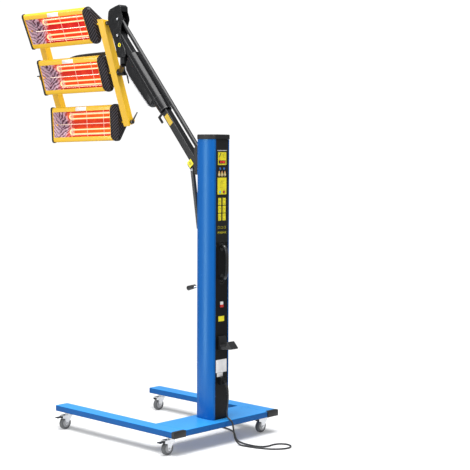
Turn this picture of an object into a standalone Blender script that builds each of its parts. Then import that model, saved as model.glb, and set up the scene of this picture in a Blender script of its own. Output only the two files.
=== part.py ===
"""Infrared paint curing lamp on a wheeled base: column with control panel, lifting arm and tilting heads.

Metres, +Z up. X runs across the base, Y from its front edge to the rear, and the control panel faces -Y.
"""
import math

import bpy
import bmesh
from mathutils import Matrix, Vector

# Clearances
GAP = 0.0003
OVERLAP = 0.0010
ROUND_SEGMENTS = 20
SMALL_SEGMENTS = 12
FEW_SEGMENTS = 8
TUBE_SIDES = 2
COIL_SIDES = 1
BEVEL_STEPS = 2
BEVEL_ANGLE = math.radians(40)
WELD_SHARE = 0.1
PATH_FINENESS = 24
CREASE_ANGLE = math.radians(35)

# Base frame of two legs and a crossbar
LEG_LENGTH = 0.866
LEG_WIDTH = 0.075
LEG_HEIGHT = 0.030
LEG_WALL = 0.0025
LEG_UNDERSIDE = 0.085
BASE_WIDTH = 0.716
CROSSBAR_DEPTH = 0.203
CROSSBAR_WALL = 0.004
EDGE_BEVEL = 0.002

# Casters
CASTER_INSET = 0.058
WHEEL_RADIUS = 0.0315
WHEEL_WIDTH = 0.022
WHEEL_BEVEL = 0.004
WHEEL_BORE_RADIUS = 0.0045
AXLE_RADIUS = 0.0040
CASTER_TRAIL = 0.025
SWIVEL_HEAD_RADIUS = 0.021
SWIVEL_HEAD_BOTTOM = 0.0705
CROWN_TOP = 0.0725
CROWN_THICKNESS = 0.0035
CROWN_FRONT = 0.014
CROWN_BACK = 0.050
CHEEK_THICKNESS = 0.003
CHEEK_GAP = 0.0015
CHEEK_BOSS = 0.010
CHEEK_EAR_BOTTOM = 0.0588
PEDAL_PIVOT_BACK = 0.0455
PEDAL_PIVOT_HEIGHT = 0.0645
PEDAL_HUB_RADIUS = 0.0038
PEDAL_LENGTH = 0.034
PEDAL_THICKNESS = 0.0042
PEDAL_SIDE_GAP = 0.0006

# Column
COLUMN_WIDTH = 0.106
COLUMN_FRONT = 0.045
COLUMN_BACK = 0.165
COLUMN_TOP = 1.459
COLUMN_BULGE = 0.0060
BULGE_QUARTER_SHARE = 0.75
COLUMN_CORNER = 0.006
RECESS_WIDTH = 0.085
RECESS_DEPTH = 0.008
COLUMN_WALL = 0.005
CAP_TOP = 1.481
CAP_RIM = 0.0025
CAP_BEVEL = 0.009

# Panels
PANEL_THICKNESS = 0.0057
PANEL_SPLIT = 0.969
POCKET_DEPTH = 0.0050
BUTTON_GAP = 0.0004
BUTTON_PROUD = 0.0020
BUTTON_LENGTH = 0.0050
BUTTON_TRAVEL = 0.0015
ROUND_BUTTON_RADIUS = 0.0055
SMALL_BUTTON_RADIUS = 0.0036
START_BUTTON_RADIUS = 0.0060
BUTTON_SPOTS = (
    ("plus_button", -0.0132, 1.3190, ROUND_BUTTON_RADIUS, "blue_plastic"),
    ("minus_button", 0.0132, 1.3190, ROUND_BUTTON_RADIUS, "blue_plastic"),
    ("mode_button_left", -0.0190, 1.2900, SMALL_BUTTON_RADIUS, "yellow_plastic"),
    ("mode_button_middle", 0.0, 1.2900, SMALL_BUTTON_RADIUS, "yellow_plastic"),
    ("mode_button_right", 0.0196, 1.2900, SMALL_BUTTON_RADIUS, "yellow_plastic"),
    ("start_button", -0.0141, 1.2082, START_BUTTON_RADIUS, "green_plastic"),
    ("stop_button", 0.0129, 1.2082, START_BUTTON_RADIUS, "red_plastic"),
)

# Grab handle, rocker switch, cord hook and gland on the lower panel
HANDLE_TOP = 0.950
HANDLE_BOTTOM = 0.794
HANDLE_REACH = 0.034
HANDLE_RADIUS = 0.0085
HANDLE_POINTS = 14
HANDLE_SQUARENESS = 2.6
ROCKER_HEIGHT_AT = 0.670
ROCKER_WIDTH = 0.020
ROCKER_HEIGHT = 0.027
ROCKER_THICKNESS = 0.0050
ROCKER_TILT = math.radians(6)
ROCKER_PIVOT_IN = 0.0010
ROCKER_GAP = 0.0012
BEZEL_RIM = 0.0040
BEZEL_PROUD = 0.0014
HOOK_HALF_WIDTH = 0.024
HOOK_OUTLINE = (
    (0.0, 0.519), (0.0067, 0.5175), (0.0127, 0.500), (0.0137, 0.479), (0.0187, 0.473),
    (0.0487, 0.473), (0.0547, 0.480), (0.0587, 0.498), (0.0640, 0.495), (0.0887, 0.4685),
    (0.0867, 0.4640), (0.0287, 0.4575), (0.0, 0.4520),
)
GLAND_WIDTH = 0.042
GLAND_HEIGHT = 0.035
GLAND_DEPTH = 0.020
GLAND_TOP = 0.321
GLAND_OFFSET = 0.004
GLAND_MOUTH_SHARE = 0.70
GLAND_NUT_RADIUS = 0.0095
GLAND_NUT_LENGTH = 0.014
GLAND_DROP_ANGLE = math.radians(48)

# Pivot bracket on the column's back, and the strut foot
BACK_PLATE = 0.004
ARM_PIVOT_BACK = 0.192
ARM_PIVOT_HEIGHT = 1.316
LINK_RISE = 0.083
CHEEK_PLATE = 0.005
BRACKET_CHEEK_GAP = 0.0008
BRACKET_ABOVE_LINK = 0.026
BRACKET_BELOW_ARM = 0.028
BRACKET_TOP = ARM_PIVOT_HEIGHT + LINK_RISE + BRACKET_ABOVE_LINK
BRACKET_BOTTOM = ARM_PIVOT_HEIGHT - BRACKET_BELOW_ARM
BRACKET_END = 0.212
BRACKET_PLATE_WIDTH = 0.070
BRACKET_CORNER = 0.010
PIVOT_PIN_RADIUS = 0.006
PIVOT_BORE_RADIUS = 0.0065
PIVOT_HEAD_RADIUS = 0.011
PIVOT_HEAD_LENGTH = 0.006
STRUT_FOOT_BACK = 0.186
STRUT_FOOT_HEIGHT = 0.931
STRUT_LUG_GAP = 0.0006
STRUT_LUG_THICKNESS = 0.004
STRUT_LUG_RADIUS = 0.011
STRUT_PIN_RADIUS = 0.004
STRUT_EYE_RADIUS = 0.009
STRUT_EYE_HALF = 0.007

# Back lever
LEVER_HEIGHT_AT = 0.751
LEVER_ROD_RADIUS = 0.004
LEVER_ROD_END = 0.228
LEVER_DROP = 0.0208
LEVER_GRIP_RADIUS = 0.012
LEVER_GRIP_END = 0.275
LEVER_COLLAR_RADIUS = 0.010
LEVER_COLLAR_LENGTH = 0.012
LEVER_ROOT_DROP = 0.0078
LEVER_GRIP_ROOT_RADIUS = 0.0096

# Arm and link: rest angle above level
ARM_ANGLE = math.radians(49.4)
ARM_LENGTH = 0.885
ARM_WIDTH = 0.038
ARM_HEIGHT = 0.038
ARM_WALL = 0.003
ARM_FOOT_END = 0.010
ARM_HEAD_END = 0.018
LINK_RADIUS = 0.011
LINK_EYE_RADIUS = 0.013
LINK_EYE_HALF = 0.013
STRUT_TOP_ALONG = 0.0506
STRUT_TOP_BELOW = 0.0330
STRUT_PLATE_START = 0.032
STRUT_PLATE_END = 0.069
STRUT_PLATE_LOW = 0.044
STRUT_PLATE_THICKNESS = 0.004
STRUT_PLATE_HALF = 0.012
COVER_FROM_TOP = 0.143
COVER_LENGTH = 0.370
COVER_END = ARM_LENGTH - COVER_FROM_TOP
COVER_START = COVER_END - COVER_LENGTH
COVER_RADIUS = 0.035
COVER_SMALL_RADIUS = 0.0310
COVER_TAPER_SHARE = 0.22
COVER_ARM_GAP = 0.0006
COVER_HOOK_LENGTH = 0.027
COVER_HOOK_START = COVER_START - COVER_HOOK_LENGTH
COVER_HOOK_LOW = 0.062
COVER_HOOK_RADIUS = 0.0045

# Gas strut
STRUT_TUBE_RADIUS = 0.0112
STRUT_TUBE_LENGTH = 0.300
STRUT_ROD_RADIUS = 0.005
STRUT_BORE_RADIUS = 0.0056
STRUT_BORE_DEPTH = 0.098
STRUT_ROD_INSIDE = 0.020
STRUT_TOP_EYE_RADIUS = 0.008
STRUT_NECK_LENGTH = 0.010

# Head casting: side outline from the arm's top pivot (Y, Z), and the slot that arm and link swing in
CASTING_HALF_WIDTH = 0.0255
CASTING_CORNER = 0.004
CASTING_OUTLINE = (
    (-0.020, 0.018), (-0.024, 0.045), (-0.037, 0.080), (-0.034, 0.096), (-0.023, 0.122),
    (-0.022, 0.146), (-0.008, 0.157), (0.025, 0.150), (0.062, 0.139), (0.076, 0.126),
    (0.080, 0.093), (0.076, 0.056), (0.057, 0.022), (0.033, -0.025), (0.0175, -0.067),
    (0.008, -0.099), (-0.002, -0.112), (-0.0535, -0.112), (-0.0615, -0.099), (-0.050, -0.068),
    (-0.028, -0.028),
)
SLOT_HALF_WIDTH = 0.0205
SLOT_OUTLINE = (
    (-0.150, 0.122), (0.024, 0.122), (0.030, 0.040), (0.026, -0.030), (-0.010, -0.050),
    (-0.028, -0.080), (-0.048, -0.120), (-0.150, -0.120),
)
CASTING_PIN_RADIUS = 0.006
CASTING_BOLT_RADIUS = 0.010
CASTING_BOLT_LENGTH = 0.004

# Head swivel and head arm
SWIVEL_FROM_PIVOT = -0.021
SWIVEL_COLLAR_RADIUS = 0.021
SWIVEL_COLLAR_LENGTH = 0.030
SWIVEL_PIN_RADIUS = 0.008
SWIVEL_PIN_BORE = 0.0086
SWIVEL_PIN_UP = 0.022
HEAD_ARM_ROOT_RADIUS = 0.0200
HEAD_ARM_TIP_RADIUS = 0.0125
TILT_HUB_RADIUS = 0.019
TILT_HUB_LENGTH = 0.046
HEAD_ARM_TIP_SHARE = 0.72
TILT_PIN_RADIUS = 0.006
TILT_BORE_RADIUS = 0.0065

# Head: tilt pivot on the near bar, and the direction of the long axis
TILT_FROM_ARM_TOP = (0.0850, 0.11997, -0.17555)
HEAD_YAW = math.radians(8.0)
HEAD_DIP = math.radians(1.3)
BAR_LEAN = math.radians(19.8)
BAR_SIDE = 0.040
BAR_HALF_LENGTH = 0.291
BAR_CUT_SHARE = 0.55
BAR_WALL = 0.003
FAR_BAR_AT = 0.563
FAR_BAR_BACK = 0.108
TUBE_RADIUS = 0.0125
CROSS_TUBE_DROP = 0.010
CROSS_TUBE_ROUTE = (
    (0.048, 0.029), (0.072, 0.055), (0.094, 0.090), (0.106, 0.130), (0.108, 0.180), (0.108, 0.350),
    (0.108, 0.520),
)
LUG_THICKNESS = 0.006
LUG_HALF_HEIGHT = 0.010
BOW_HANDLE_RADIUS = 0.010
TUBE_STEP = 0.026
BOW_HANDLE_ROUTE = (
    (0.060, 0.022, 0.0810), (0.094, 0.044, 0.0815), (0.108, 0.090, 0.0815), (0.108, 0.160, 0.0810),
    (0.108, 0.240, 0.0800), (0.108, 0.310, 0.0785), (0.108, 0.375, 0.0740), (0.108, 0.430, 0.0610),
    (0.108, 0.475, 0.0350), (0.108, 0.505, 0.0100), (0.108, 0.530, -0.0040),
)
BOW_HANDLE_ROOT_HEIGHT = 0.080
PIVOT_STUB_RADIUS = 0.005
PIVOT_STUB_BORE = 0.0056
PIVOT_STUB_IN = 0.016

# Cassettes: height on the bar, stand-off of the face from the pivot, and tilt
CASSETTE_PLACES = (
    ("top", 0.2630, 0.0285, math.radians(23.6)),
    ("middle", 0.0, 0.0180, math.radians(17.3)),
    ("bottom", -0.2735, 0.0340, math.radians(2.2)),
)
CASSETTE_START = 0.062
NEAR_CAP_LENGTH = 0.058
FAR_CAP_LENGTH = 0.010
CASSETTE_BODY_LENGTH = 0.424
CASSETTE_HEIGHT = 0.199
CASSETTE_DEPTH = 0.080
FACE_CORNER = 0.012
FACE_CORNER_SHARE = 0.3
APEX_HALF_HEIGHT = 0.026
HOUSING_INSET = 0.0030
CAVITY_OUTLINE = (
    (-0.0010, 0.0695), (0.0060, 0.0695), (0.0060, 0.0840), (0.0100, 0.0905), (0.0160, 0.0932),
    (0.0256, 0.0932), (0.0620, 0.0282), (0.0738, 0.0105),
)
CAVITY_END_WALL = 0.003
LAMP_RADIUS = 0.0055
LAMP_SETBACK = 0.022
LAMP_LEG_SPACING = 0.024
LAMP_ROWS = (0.042, -0.042)
LAMP_START = 0.004
LAMP_LENGTH = 0.313
LAMP_LINK_LENGTH = 0.020
LAMP_BASE_WIDTH = 0.122
LAMP_BASE_HALF_DEPTH = 0.0083
LAMP_LINK_HALF_DEPTH = 0.0038

# Clamp levers
CLAMP_HUB_RADIUS = 0.011
CLAMP_HUB_LENGTH = 0.014
CLAMP_LEVER_LENGTH = 0.062
CLAMP_ROOT_RADIUS = 0.0052
CLAMP_TIP_RADIUS = 0.0034
TOP_CLAMP_ANGLE = math.radians(144)
BOTTOM_CLAMP_ANGLE = math.radians(54)
TILT_CLAMP_ANGLE = math.radians(172)

# Mains cord, with its coil on the floor behind the crossbar
CORD_RADIUS = 0.004
CORD_STEP = 0.020
CORD_ROUTE = (
    (0.004, 0.0075, 0.2600), (0.004, 0.0045, 0.2250), (0.006, 0.0120, 0.1750),
    (0.008, 0.0180, 0.1430), (0.009, 0.0090, 0.1240), (0.010, -0.0060, 0.1180),
    (0.011, -0.0180, 0.1040), (0.012, -0.0260, 0.0700), (0.013, -0.0360, 0.0300),
    (0.016, -0.0620, 0.0060), (0.022, -0.1100, 0.0042), (0.036, -0.1650, 0.0042),
    (0.062, -0.2200, 0.0042), (0.101, -0.2550, 0.0042), (0.150, -0.2660, 0.0042),
    (0.197, -0.2450, 0.0042), (0.226, -0.2000, 0.0042), (0.236, -0.1400, 0.0042),
    (0.230, -0.0600, 0.0042), (0.222, 0.0400, 0.0042), (0.216, 0.1400, 0.0042),
    (0.207, 0.2300, 0.0042),
)
COIL_CENTRE = (0.165, 0.325)
COIL_INNER_RADIUS = 0.0335
COIL_PITCH = 0.0088
COIL_LAYER = 0.0086
COIL_LAYERS = 4
COIL_TURNS = 3.0
COIL_LAST_TURNS = 2.5
COIL_CLIMB_SHARE = 0.25
COIL_POINTS = 20
COIL_DROP_SHARES = (0.0, 0.15, 0.50, 0.85, 1.0)
FLOOR_CLEARANCE = 0.0002
PLUG_LENGTH = 0.062
PLUG_RADIUS = 0.021
PLUG_NECK_LENGTH = 0.026
PLUG_NECK_RADIUS = 0.0065
PLUG_NECK_END_RADIUS = 0.0104
PLUG_BODY_RADIUS = 0.0168
PLUG_PIN_RADIUS = 0.0024
PLUG_PIN_LENGTH = 0.019
PLUG_PIN_SPACING = 0.0095

# Colours and finishes: name -> (colour, roughness, metallic)
FINISHES = {
    "blue_paint": ((0.02, 0.20, 0.72, 1.0), 0.28, 0.0),
    "black_paint": ((0.02, 0.02, 0.022, 1.0), 0.35, 0.0),
    "black_plastic": ((0.03, 0.03, 0.032, 1.0), 0.50, 0.0),
    "yellow_paint": ((0.93, 0.52, 0.02, 1.0), 0.35, 0.0),
    "zinc": ((0.62, 0.63, 0.64, 1.0), 0.32, 1.0),
    "grey_rubber": ((0.30, 0.31, 0.32, 1.0), 0.75, 0.0),
    "steel": ((0.58, 0.59, 0.60, 1.0), 0.25, 1.0),
    "lamp_quartz": ((0.95, 0.32, 0.12, 1.0), 0.15, 0.0),
    "blue_plastic": ((0.20, 0.45, 0.85, 1.0), 0.40, 0.0),
    "green_plastic": ((0.10, 0.60, 0.55, 1.0), 0.40, 0.0),
    "red_plastic": ((0.75, 0.05, 0.04, 1.0), 0.40, 0.0),
    "yellow_plastic": ((0.90, 0.75, 0.05, 1.0), 0.40, 0.0),
    "cord_grey": ((0.22, 0.22, 0.23, 1.0), 0.60, 0.0),
}


def clear_scene():
    for obj in list(bpy.data.objects):
        bpy.data.objects.remove(obj, do_unlink=True)


def new_collection(name, hidden):
    made = bpy.data.collections.new(name)
    bpy.context.scene.collection.children.link(made)
    made.hide_render = hidden
    return made


clear_scene()
LAMP = new_collection("paint_curing_lamp", False)
HELPERS = new_collection("paint_curing_lamp_helpers", True)


def empty(name, parent, place, turn=None):
    """An axis that pieces hang on, placed in its parent's coordinates."""
    made = bpy.data.objects.new(name, None)
    made.empty_display_size = BAR_SIDE
    LAMP.objects.link(made)
    made.parent = parent
    made.matrix_local = Matrix.Translation(Vector(place)) @ (turn or Matrix.Identity(4))
    return made


def finish(obj, name):
    """Give a piece its own material."""
    colour, roughness, metallic = FINISHES[name]
    made = bpy.data.materials.new(obj.name + "_" + name)
    made.use_nodes = True
    shader = made.node_tree.nodes["Principled BSDF"]
    shader.inputs["Base Color"].default_value = colour
    shader.inputs["Roughness"].default_value = roughness
    shader.inputs["Metallic"].default_value = metallic
    made.diffuse_color = colour
    obj.data.materials.append(made)


def piece(name, mesh, parent, look):
    obj = bpy.data.objects.new(name, mesh)
    LAMP.objects.link(obj)
    obj.parent = parent
    finish(obj, look)
    return obj


def helper(name, mesh, parent):
    obj = bpy.data.objects.new(name, mesh)
    HELPERS.objects.link(obj)
    obj.parent = parent
    obj.hide_render = True
    obj.display_type = "WIRE"
    return obj


def from_bmesh(name, shape):
    bmesh.ops.recalc_face_normals(shape, faces=shape.faces)
    mesh = bpy.data.meshes.new(name)
    shape.to_mesh(mesh)
    shape.free()
    mesh.shade_smooth()
    mesh.set_sharp_from_angle(angle=CREASE_ANGLE)
    return mesh


def box_mesh(name, low, high):
    """A block between two opposite corners."""
    low, high = Vector(low), Vector(high)
    size = high - low
    shape = bmesh.new()
    place = Matrix.Translation((low + high) / 2) @ Matrix.Diagonal((size.x, size.y, size.z, 1))
    bmesh.ops.create_cube(shape, size=1, matrix=place)
    return from_bmesh(name, shape)


def rod_mesh(name, start, end, radius, end_radius=None, segments=ROUND_SEGMENTS):
    """A round bar or a cone between two points."""
    start, end = Vector(start), Vector(end)
    run = end - start
    shape = bmesh.new()
    turn = run.to_track_quat("Z", "Y").to_matrix().to_4x4()
    bmesh.ops.create_cone(
        shape, cap_ends=True, segments=segments, radius1=radius,
        radius2=radius if end_radius is None else end_radius, depth=run.length,
        matrix=Matrix.Translation((start + end) / 2) @ turn,
    )
    return from_bmesh(name, shape)


def plain_mesh(curve_data, name):
    """The mesh that a curve makes, closed where its caps meet its sides."""
    holder = bpy.data.objects.new(name + "_curve", curve_data)
    bpy.context.scene.collection.objects.link(holder)
    bpy.context.view_layer.update()
    graph = bpy.context.evaluated_depsgraph_get()
    mesh = bpy.data.meshes.new_from_object(holder.evaluated_get(graph), depsgraph=graph)
    bpy.data.objects.remove(holder, do_unlink=True)
    bpy.data.curves.remove(curve_data)
    shape = bmesh.new()
    shape.from_mesh(mesh)
    bmesh.ops.remove_doubles(shape, verts=shape.verts, dist=GAP * WELD_SHARE)
    bpy.data.meshes.remove(mesh)
    return from_bmesh(name, shape)


def plate_mesh(name, outlines, thickness, turn):
    """A flat plate from 2D outlines, the first of them outside, extruded both ways from its middle plane."""
    data = bpy.data.curves.new(name, "CURVE")
    data.dimensions = "2D"
    data.fill_mode = "BOTH"
    data.extrude = thickness / 2
    for outline in outlines:
        spline = data.splines.new("POLY")
        spline.points.add(len(outline) - 1)
        for point, (across, along) in zip(spline.points, outline):
            point.co = (across, along, 0, 1)
        spline.use_cyclic_u = True
    mesh = plain_mesh(data, name)
    mesh.transform(turn)
    if turn.determinant() < 0:
        mesh.flip_normals()
    return mesh


def side_plate(name, outline, low, high):
    """A plate whose outline is given as (Y, Z), between two X positions."""
    turn = Matrix(((0, 0, 1, (low + high) / 2), (1, 0, 0, 0), (0, 1, 0, 0), (0, 0, 0, 1)))
    return plate_mesh(name, (outline,), high - low, turn)


def fore_plate(name, outline, low, high):
    """A plate whose outline is given as (X, Z), between two Y positions."""
    turn = Matrix(((1, 0, 0, 0), (0, 0, -1, (low + high) / 2), (0, 1, 0, 0), (0, 0, 0, 1)))
    return plate_mesh(name, (outline,), high - low, turn)


def upright_plate(name, outline, low, high):
    """A plate whose outline is given as (X, Y), between two heights."""
    return plate_mesh(name, (outline,), high - low, Matrix.Translation((0, 0, (low + high) / 2)))


def tube_curve(name, points, radius, sides_level, parent, look):
    """A tube along a list of points, with closed ends."""
    data = bpy.data.curves.new(name, "CURVE")
    data.dimensions = "3D"
    data.bevel_depth = radius
    data.bevel_resolution = sides_level
    data.use_fill_caps = True
    spline = data.splines.new("POLY")
    spline.points.add(len(points) - 1)
    for point, at in zip(spline.points, points):
        point.co = (*at, 1)
    return piece(name, data, parent, look)


def bevel(obj, width, segments=1):
    made = obj.modifiers.new("soft_edges", "BEVEL")
    made.width = width
    made.segments = segments
    made.limit_method = "ANGLE"
    made.angle_limit = BEVEL_ANGLE
    return made


def boolean(obj, mesh, operation, bevel_width=None):
    other = helper(mesh.name, mesh, obj.parent)
    if bevel_width:
        bevel(other, bevel_width)
    made = obj.modifiers.new(mesh.name, "BOOLEAN")
    made.operation = operation
    made.solver = "EXACT"
    made.object = other
    return other


def join(obj, mesh, bevel_width=None):
    return boolean(obj, mesh, "UNION", bevel_width)


def cut(obj, mesh):
    return boolean(obj, mesh, "DIFFERENCE")


def smooth_path(route, step):
    """Points a step apart on a smooth curve through the route."""
    route = [Vector(at) for at in route]
    ends = [route[0] * 2 - route[1]] + route + [route[-1] * 2 - route[-2]]
    fine = []
    for before, start, end, after in zip(ends, ends[1:], ends[2:], ends[3:]):
        for number in range(PATH_FINENESS):
            t = number / PATH_FINENESS
            fine.append(
                0.5 * (2 * start + (end - before) * t + (2 * before - 5 * start + 4 * end - after) * t ** 2
                       + (3 * start - before - 3 * end + after) * t ** 3)
            )
    fine.append(route[-1])
    lengths = [0.0]
    for start, end in zip(fine, fine[1:]):
        lengths.append(lengths[-1] + (end - start).length)
    steps = max(2, round(lengths[-1] / step))
    found = []
    place = 0
    for number in range(steps + 1):
        wanted = lengths[-1] * number / steps
        while place < len(fine) - 2 and lengths[place + 1] < wanted:
            place += 1
        share = (wanted - lengths[place]) / (lengths[place + 1] - lengths[place])
        found.append(fine[place].lerp(fine[place + 1], share))
    return found, lengths[-1]


ROOT = empty("paint_curing_lamp", None, (0, 0, 0))
LEG_TOP = LEG_UNDERSIDE + LEG_HEIGHT
LEG_CENTRE = BASE_WIDTH / 2 - LEG_WIDTH / 2


def base_frame():
    for side, name in ((-1, "left_leg"), (1, "right_leg")):
        low = (side * LEG_CENTRE - LEG_WIDTH / 2, 0, LEG_UNDERSIDE)
        high = (side * LEG_CENTRE + LEG_WIDTH / 2, LEG_LENGTH, LEG_TOP)
        leg = piece(name, box_mesh(name, low, high), ROOT, "blue_paint")
        bevel(leg, EDGE_BEVEL)
        inner_low = (low[0] + LEG_WALL, -LEG_WIDTH, low[2] + LEG_WALL)
        inner_high = (high[0] - LEG_WALL, LEG_LENGTH + LEG_WIDTH, high[2] - LEG_WALL)
        cut(leg, box_mesh(name + "_hollow", inner_low, inner_high))
    half = LEG_CENTRE - LEG_WIDTH / 2 - GAP
    block = box_mesh("crossbar", (-half, 0, LEG_UNDERSIDE), (half, CROSSBAR_DEPTH, LEG_TOP))
    bar = piece("crossbar", block, ROOT, "blue_paint")
    bevel(bar, EDGE_BEVEL)
    cut(bar, box_mesh(
        "crossbar_hollow", (CROSSBAR_WALL - half, CROSSBAR_WALL, 0),
        (half - CROSSBAR_WALL, CROSSBAR_DEPTH - CROSSBAR_WALL, LEG_TOP - CROSSBAR_WALL),
    ))


def caster(name, place, braked):
    swivel = empty(name + "_swivel", ROOT, (*place, 0))
    head = rod_mesh(
        name + "_fork", (0, 0, SWIVEL_HEAD_BOTTOM), (0, 0, LEG_UNDERSIDE - GAP), SWIVEL_HEAD_RADIUS
    )
    fork = piece(name + "_fork", head, swivel, "zinc")
    inner = WHEEL_WIDTH / 2 + CHEEK_GAP
    outer = inner + CHEEK_THICKNESS
    join(fork, box_mesh(
        name + "_crown", (-CROWN_BACK, -outer, CROWN_TOP - CROWN_THICKNESS), (CROWN_FRONT, outer, CROWN_TOP)
    ))
    low = WHEEL_RADIUS - CHEEK_BOSS
    outline = (
        (CROWN_FRONT, CROWN_TOP), (CHEEK_BOSS - CASTER_TRAIL, WHEEL_RADIUS),
        (CHEEK_BOSS / 2 - CASTER_TRAIL, low), (-CHEEK_BOSS / 2 - CASTER_TRAIL, low),
        (-CHEEK_BOSS - CASTER_TRAIL, WHEEL_RADIUS),
        (-CHEEK_BOSS - CASTER_TRAIL, CHEEK_EAR_BOTTOM - CHEEK_BOSS / 2),
        (-CROWN_BACK, CHEEK_EAR_BOTTOM), (-CROWN_BACK, CROWN_TOP),
    )
    for side in (-1, 1):
        near, far = sorted((side * inner, side * outer))
        join(fork, fore_plate(name + "_cheek_" + str(side), outline, near, far))
    join(fork, rod_mesh(
        name + "_axle", (-CASTER_TRAIL, -outer - CHEEK_GAP, WHEEL_RADIUS),
        (-CASTER_TRAIL, outer + CHEEK_GAP, WHEEL_RADIUS), AXLE_RADIUS, segments=SMALL_SEGMENTS,
    ))
    axle = empty(name + "_axle_line", swivel, (-CASTER_TRAIL, 0, WHEEL_RADIUS))
    half = WHEEL_WIDTH / 2
    disc = rod_mesh(name + "_wheel", (0, -half, 0), (0, half, 0), WHEEL_RADIUS)
    wheel = piece(name + "_wheel", disc, axle, "grey_rubber")
    bevel(wheel, WHEEL_BEVEL)
    cut(wheel, rod_mesh(
        name + "_wheel_bore", (0, -WHEEL_WIDTH, 0), (0, WHEEL_WIDTH, 0), WHEEL_BORE_RADIUS,
        segments=SMALL_SEGMENTS,
    ))
    if braked:
        hinge = empty(name + "_pedal_line", swivel, (-PEDAL_PIVOT_BACK, 0, PEDAL_PIVOT_HEIGHT))
        half = inner - PEDAL_SIDE_GAP
        hub = rod_mesh(
            name + "_brake_pedal", (0, -half, 0), (0, half, 0), PEDAL_HUB_RADIUS, segments=SMALL_SEGMENTS
        )
        pedal = piece(name + "_brake_pedal", hub, hinge, "black_plastic")
        join(pedal, box_mesh(
            name + "_pedal_blade", (-PEDAL_LENGTH, -half, -PEDAL_THICKNESS / 2),
            (0, half, PEDAL_THICKNESS / 2),
        ))


def casters():
    for side, across in ((-1, "left"), (1, "right")):
        for along, at in (("front", CASTER_INSET), ("rear", LEG_LENGTH - CASTER_INSET)):
            caster(along + "_" + across, (side * LEG_CENTRE, at), side < 0)


def mirrored(half_outline):
    """A closed outline from its right half, given from front to back."""
    return list(half_outline) + [(-across, along) for across, along in reversed(half_outline)]


def column():
    half = COLUMN_WIDTH / 2
    middle = (COLUMN_FRONT + COLUMN_BACK) / 2
    bottom = LEG_TOP + GAP
    quarter = half + COLUMN_BULGE * BULGE_QUARTER_SHARE
    right = (
        (RECESS_WIDTH / 2, COLUMN_FRONT + RECESS_DEPTH), (RECESS_WIDTH / 2, COLUMN_FRONT),
        (half - COLUMN_CORNER, COLUMN_FRONT), (half, COLUMN_FRONT + COLUMN_CORNER),
        (quarter, (COLUMN_FRONT + middle) / 2), (half + COLUMN_BULGE, middle),
        (quarter, (COLUMN_BACK + middle) / 2), (half, COLUMN_BACK - COLUMN_CORNER),
        (half - COLUMN_CORNER, COLUMN_BACK),
    )
    body = piece("column", upright_plate("column", mirrored(right), bottom, COLUMN_TOP), ROOT, "blue_paint")
    inner = half - COLUMN_WALL
    cut(body, box_mesh(
        "column_hollow", (-inner, COLUMN_FRONT + RECESS_DEPTH + COLUMN_WALL, 0),
        (inner, COLUMN_BACK - COLUMN_WALL, COLUMN_TOP + COLUMN_WALL),
    ))
    rim = CAP_RIM
    right = (
        (half - COLUMN_CORNER, COLUMN_FRONT - rim), (half + rim, COLUMN_FRONT + COLUMN_CORNER),
        (quarter + rim, (COLUMN_FRONT + middle) / 2), (half + COLUMN_BULGE + rim, middle),
        (quarter + rim, (COLUMN_BACK + middle) / 2), (half + rim, COLUMN_BACK - COLUMN_CORNER),
        (half - COLUMN_CORNER, COLUMN_BACK + rim),
    )
    lid = upright_plate("column_cap", mirrored(right), COLUMN_TOP + GAP, CAP_TOP)
    cap = piece("column_cap", lid, ROOT, "black_plastic")
    soft = bevel(cap, CAP_BEVEL, BEVEL_STEPS)
    soft.limit_method = "WEIGHT"
    weights = cap.data.attributes.new("bevel_weight_edge", "FLOAT", "EDGE")
    for edge in cap.data.edges:
        weights.data[edge.index].value = float(
            all(cap.data.vertices[v].co.z > CAP_TOP - GAP for v in edge.vertices)
        )


PANEL_FACE = COLUMN_FRONT + RECESS_DEPTH - GAP - PANEL_THICKNESS
PANEL_HALF = RECESS_WIDTH / 2 - GAP


def button(name, across, height, radius, look):
    travel_line = empty(name + "_line", ROOT, (across, PANEL_FACE, height))
    cap = rod_mesh(
        name, (0, -BUTTON_PROUD, 0), (0, BUTTON_LENGTH - BUTTON_PROUD, 0), radius, segments=SMALL_SEGMENTS
    )
    piece(name, cap, travel_line, look)


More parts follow.
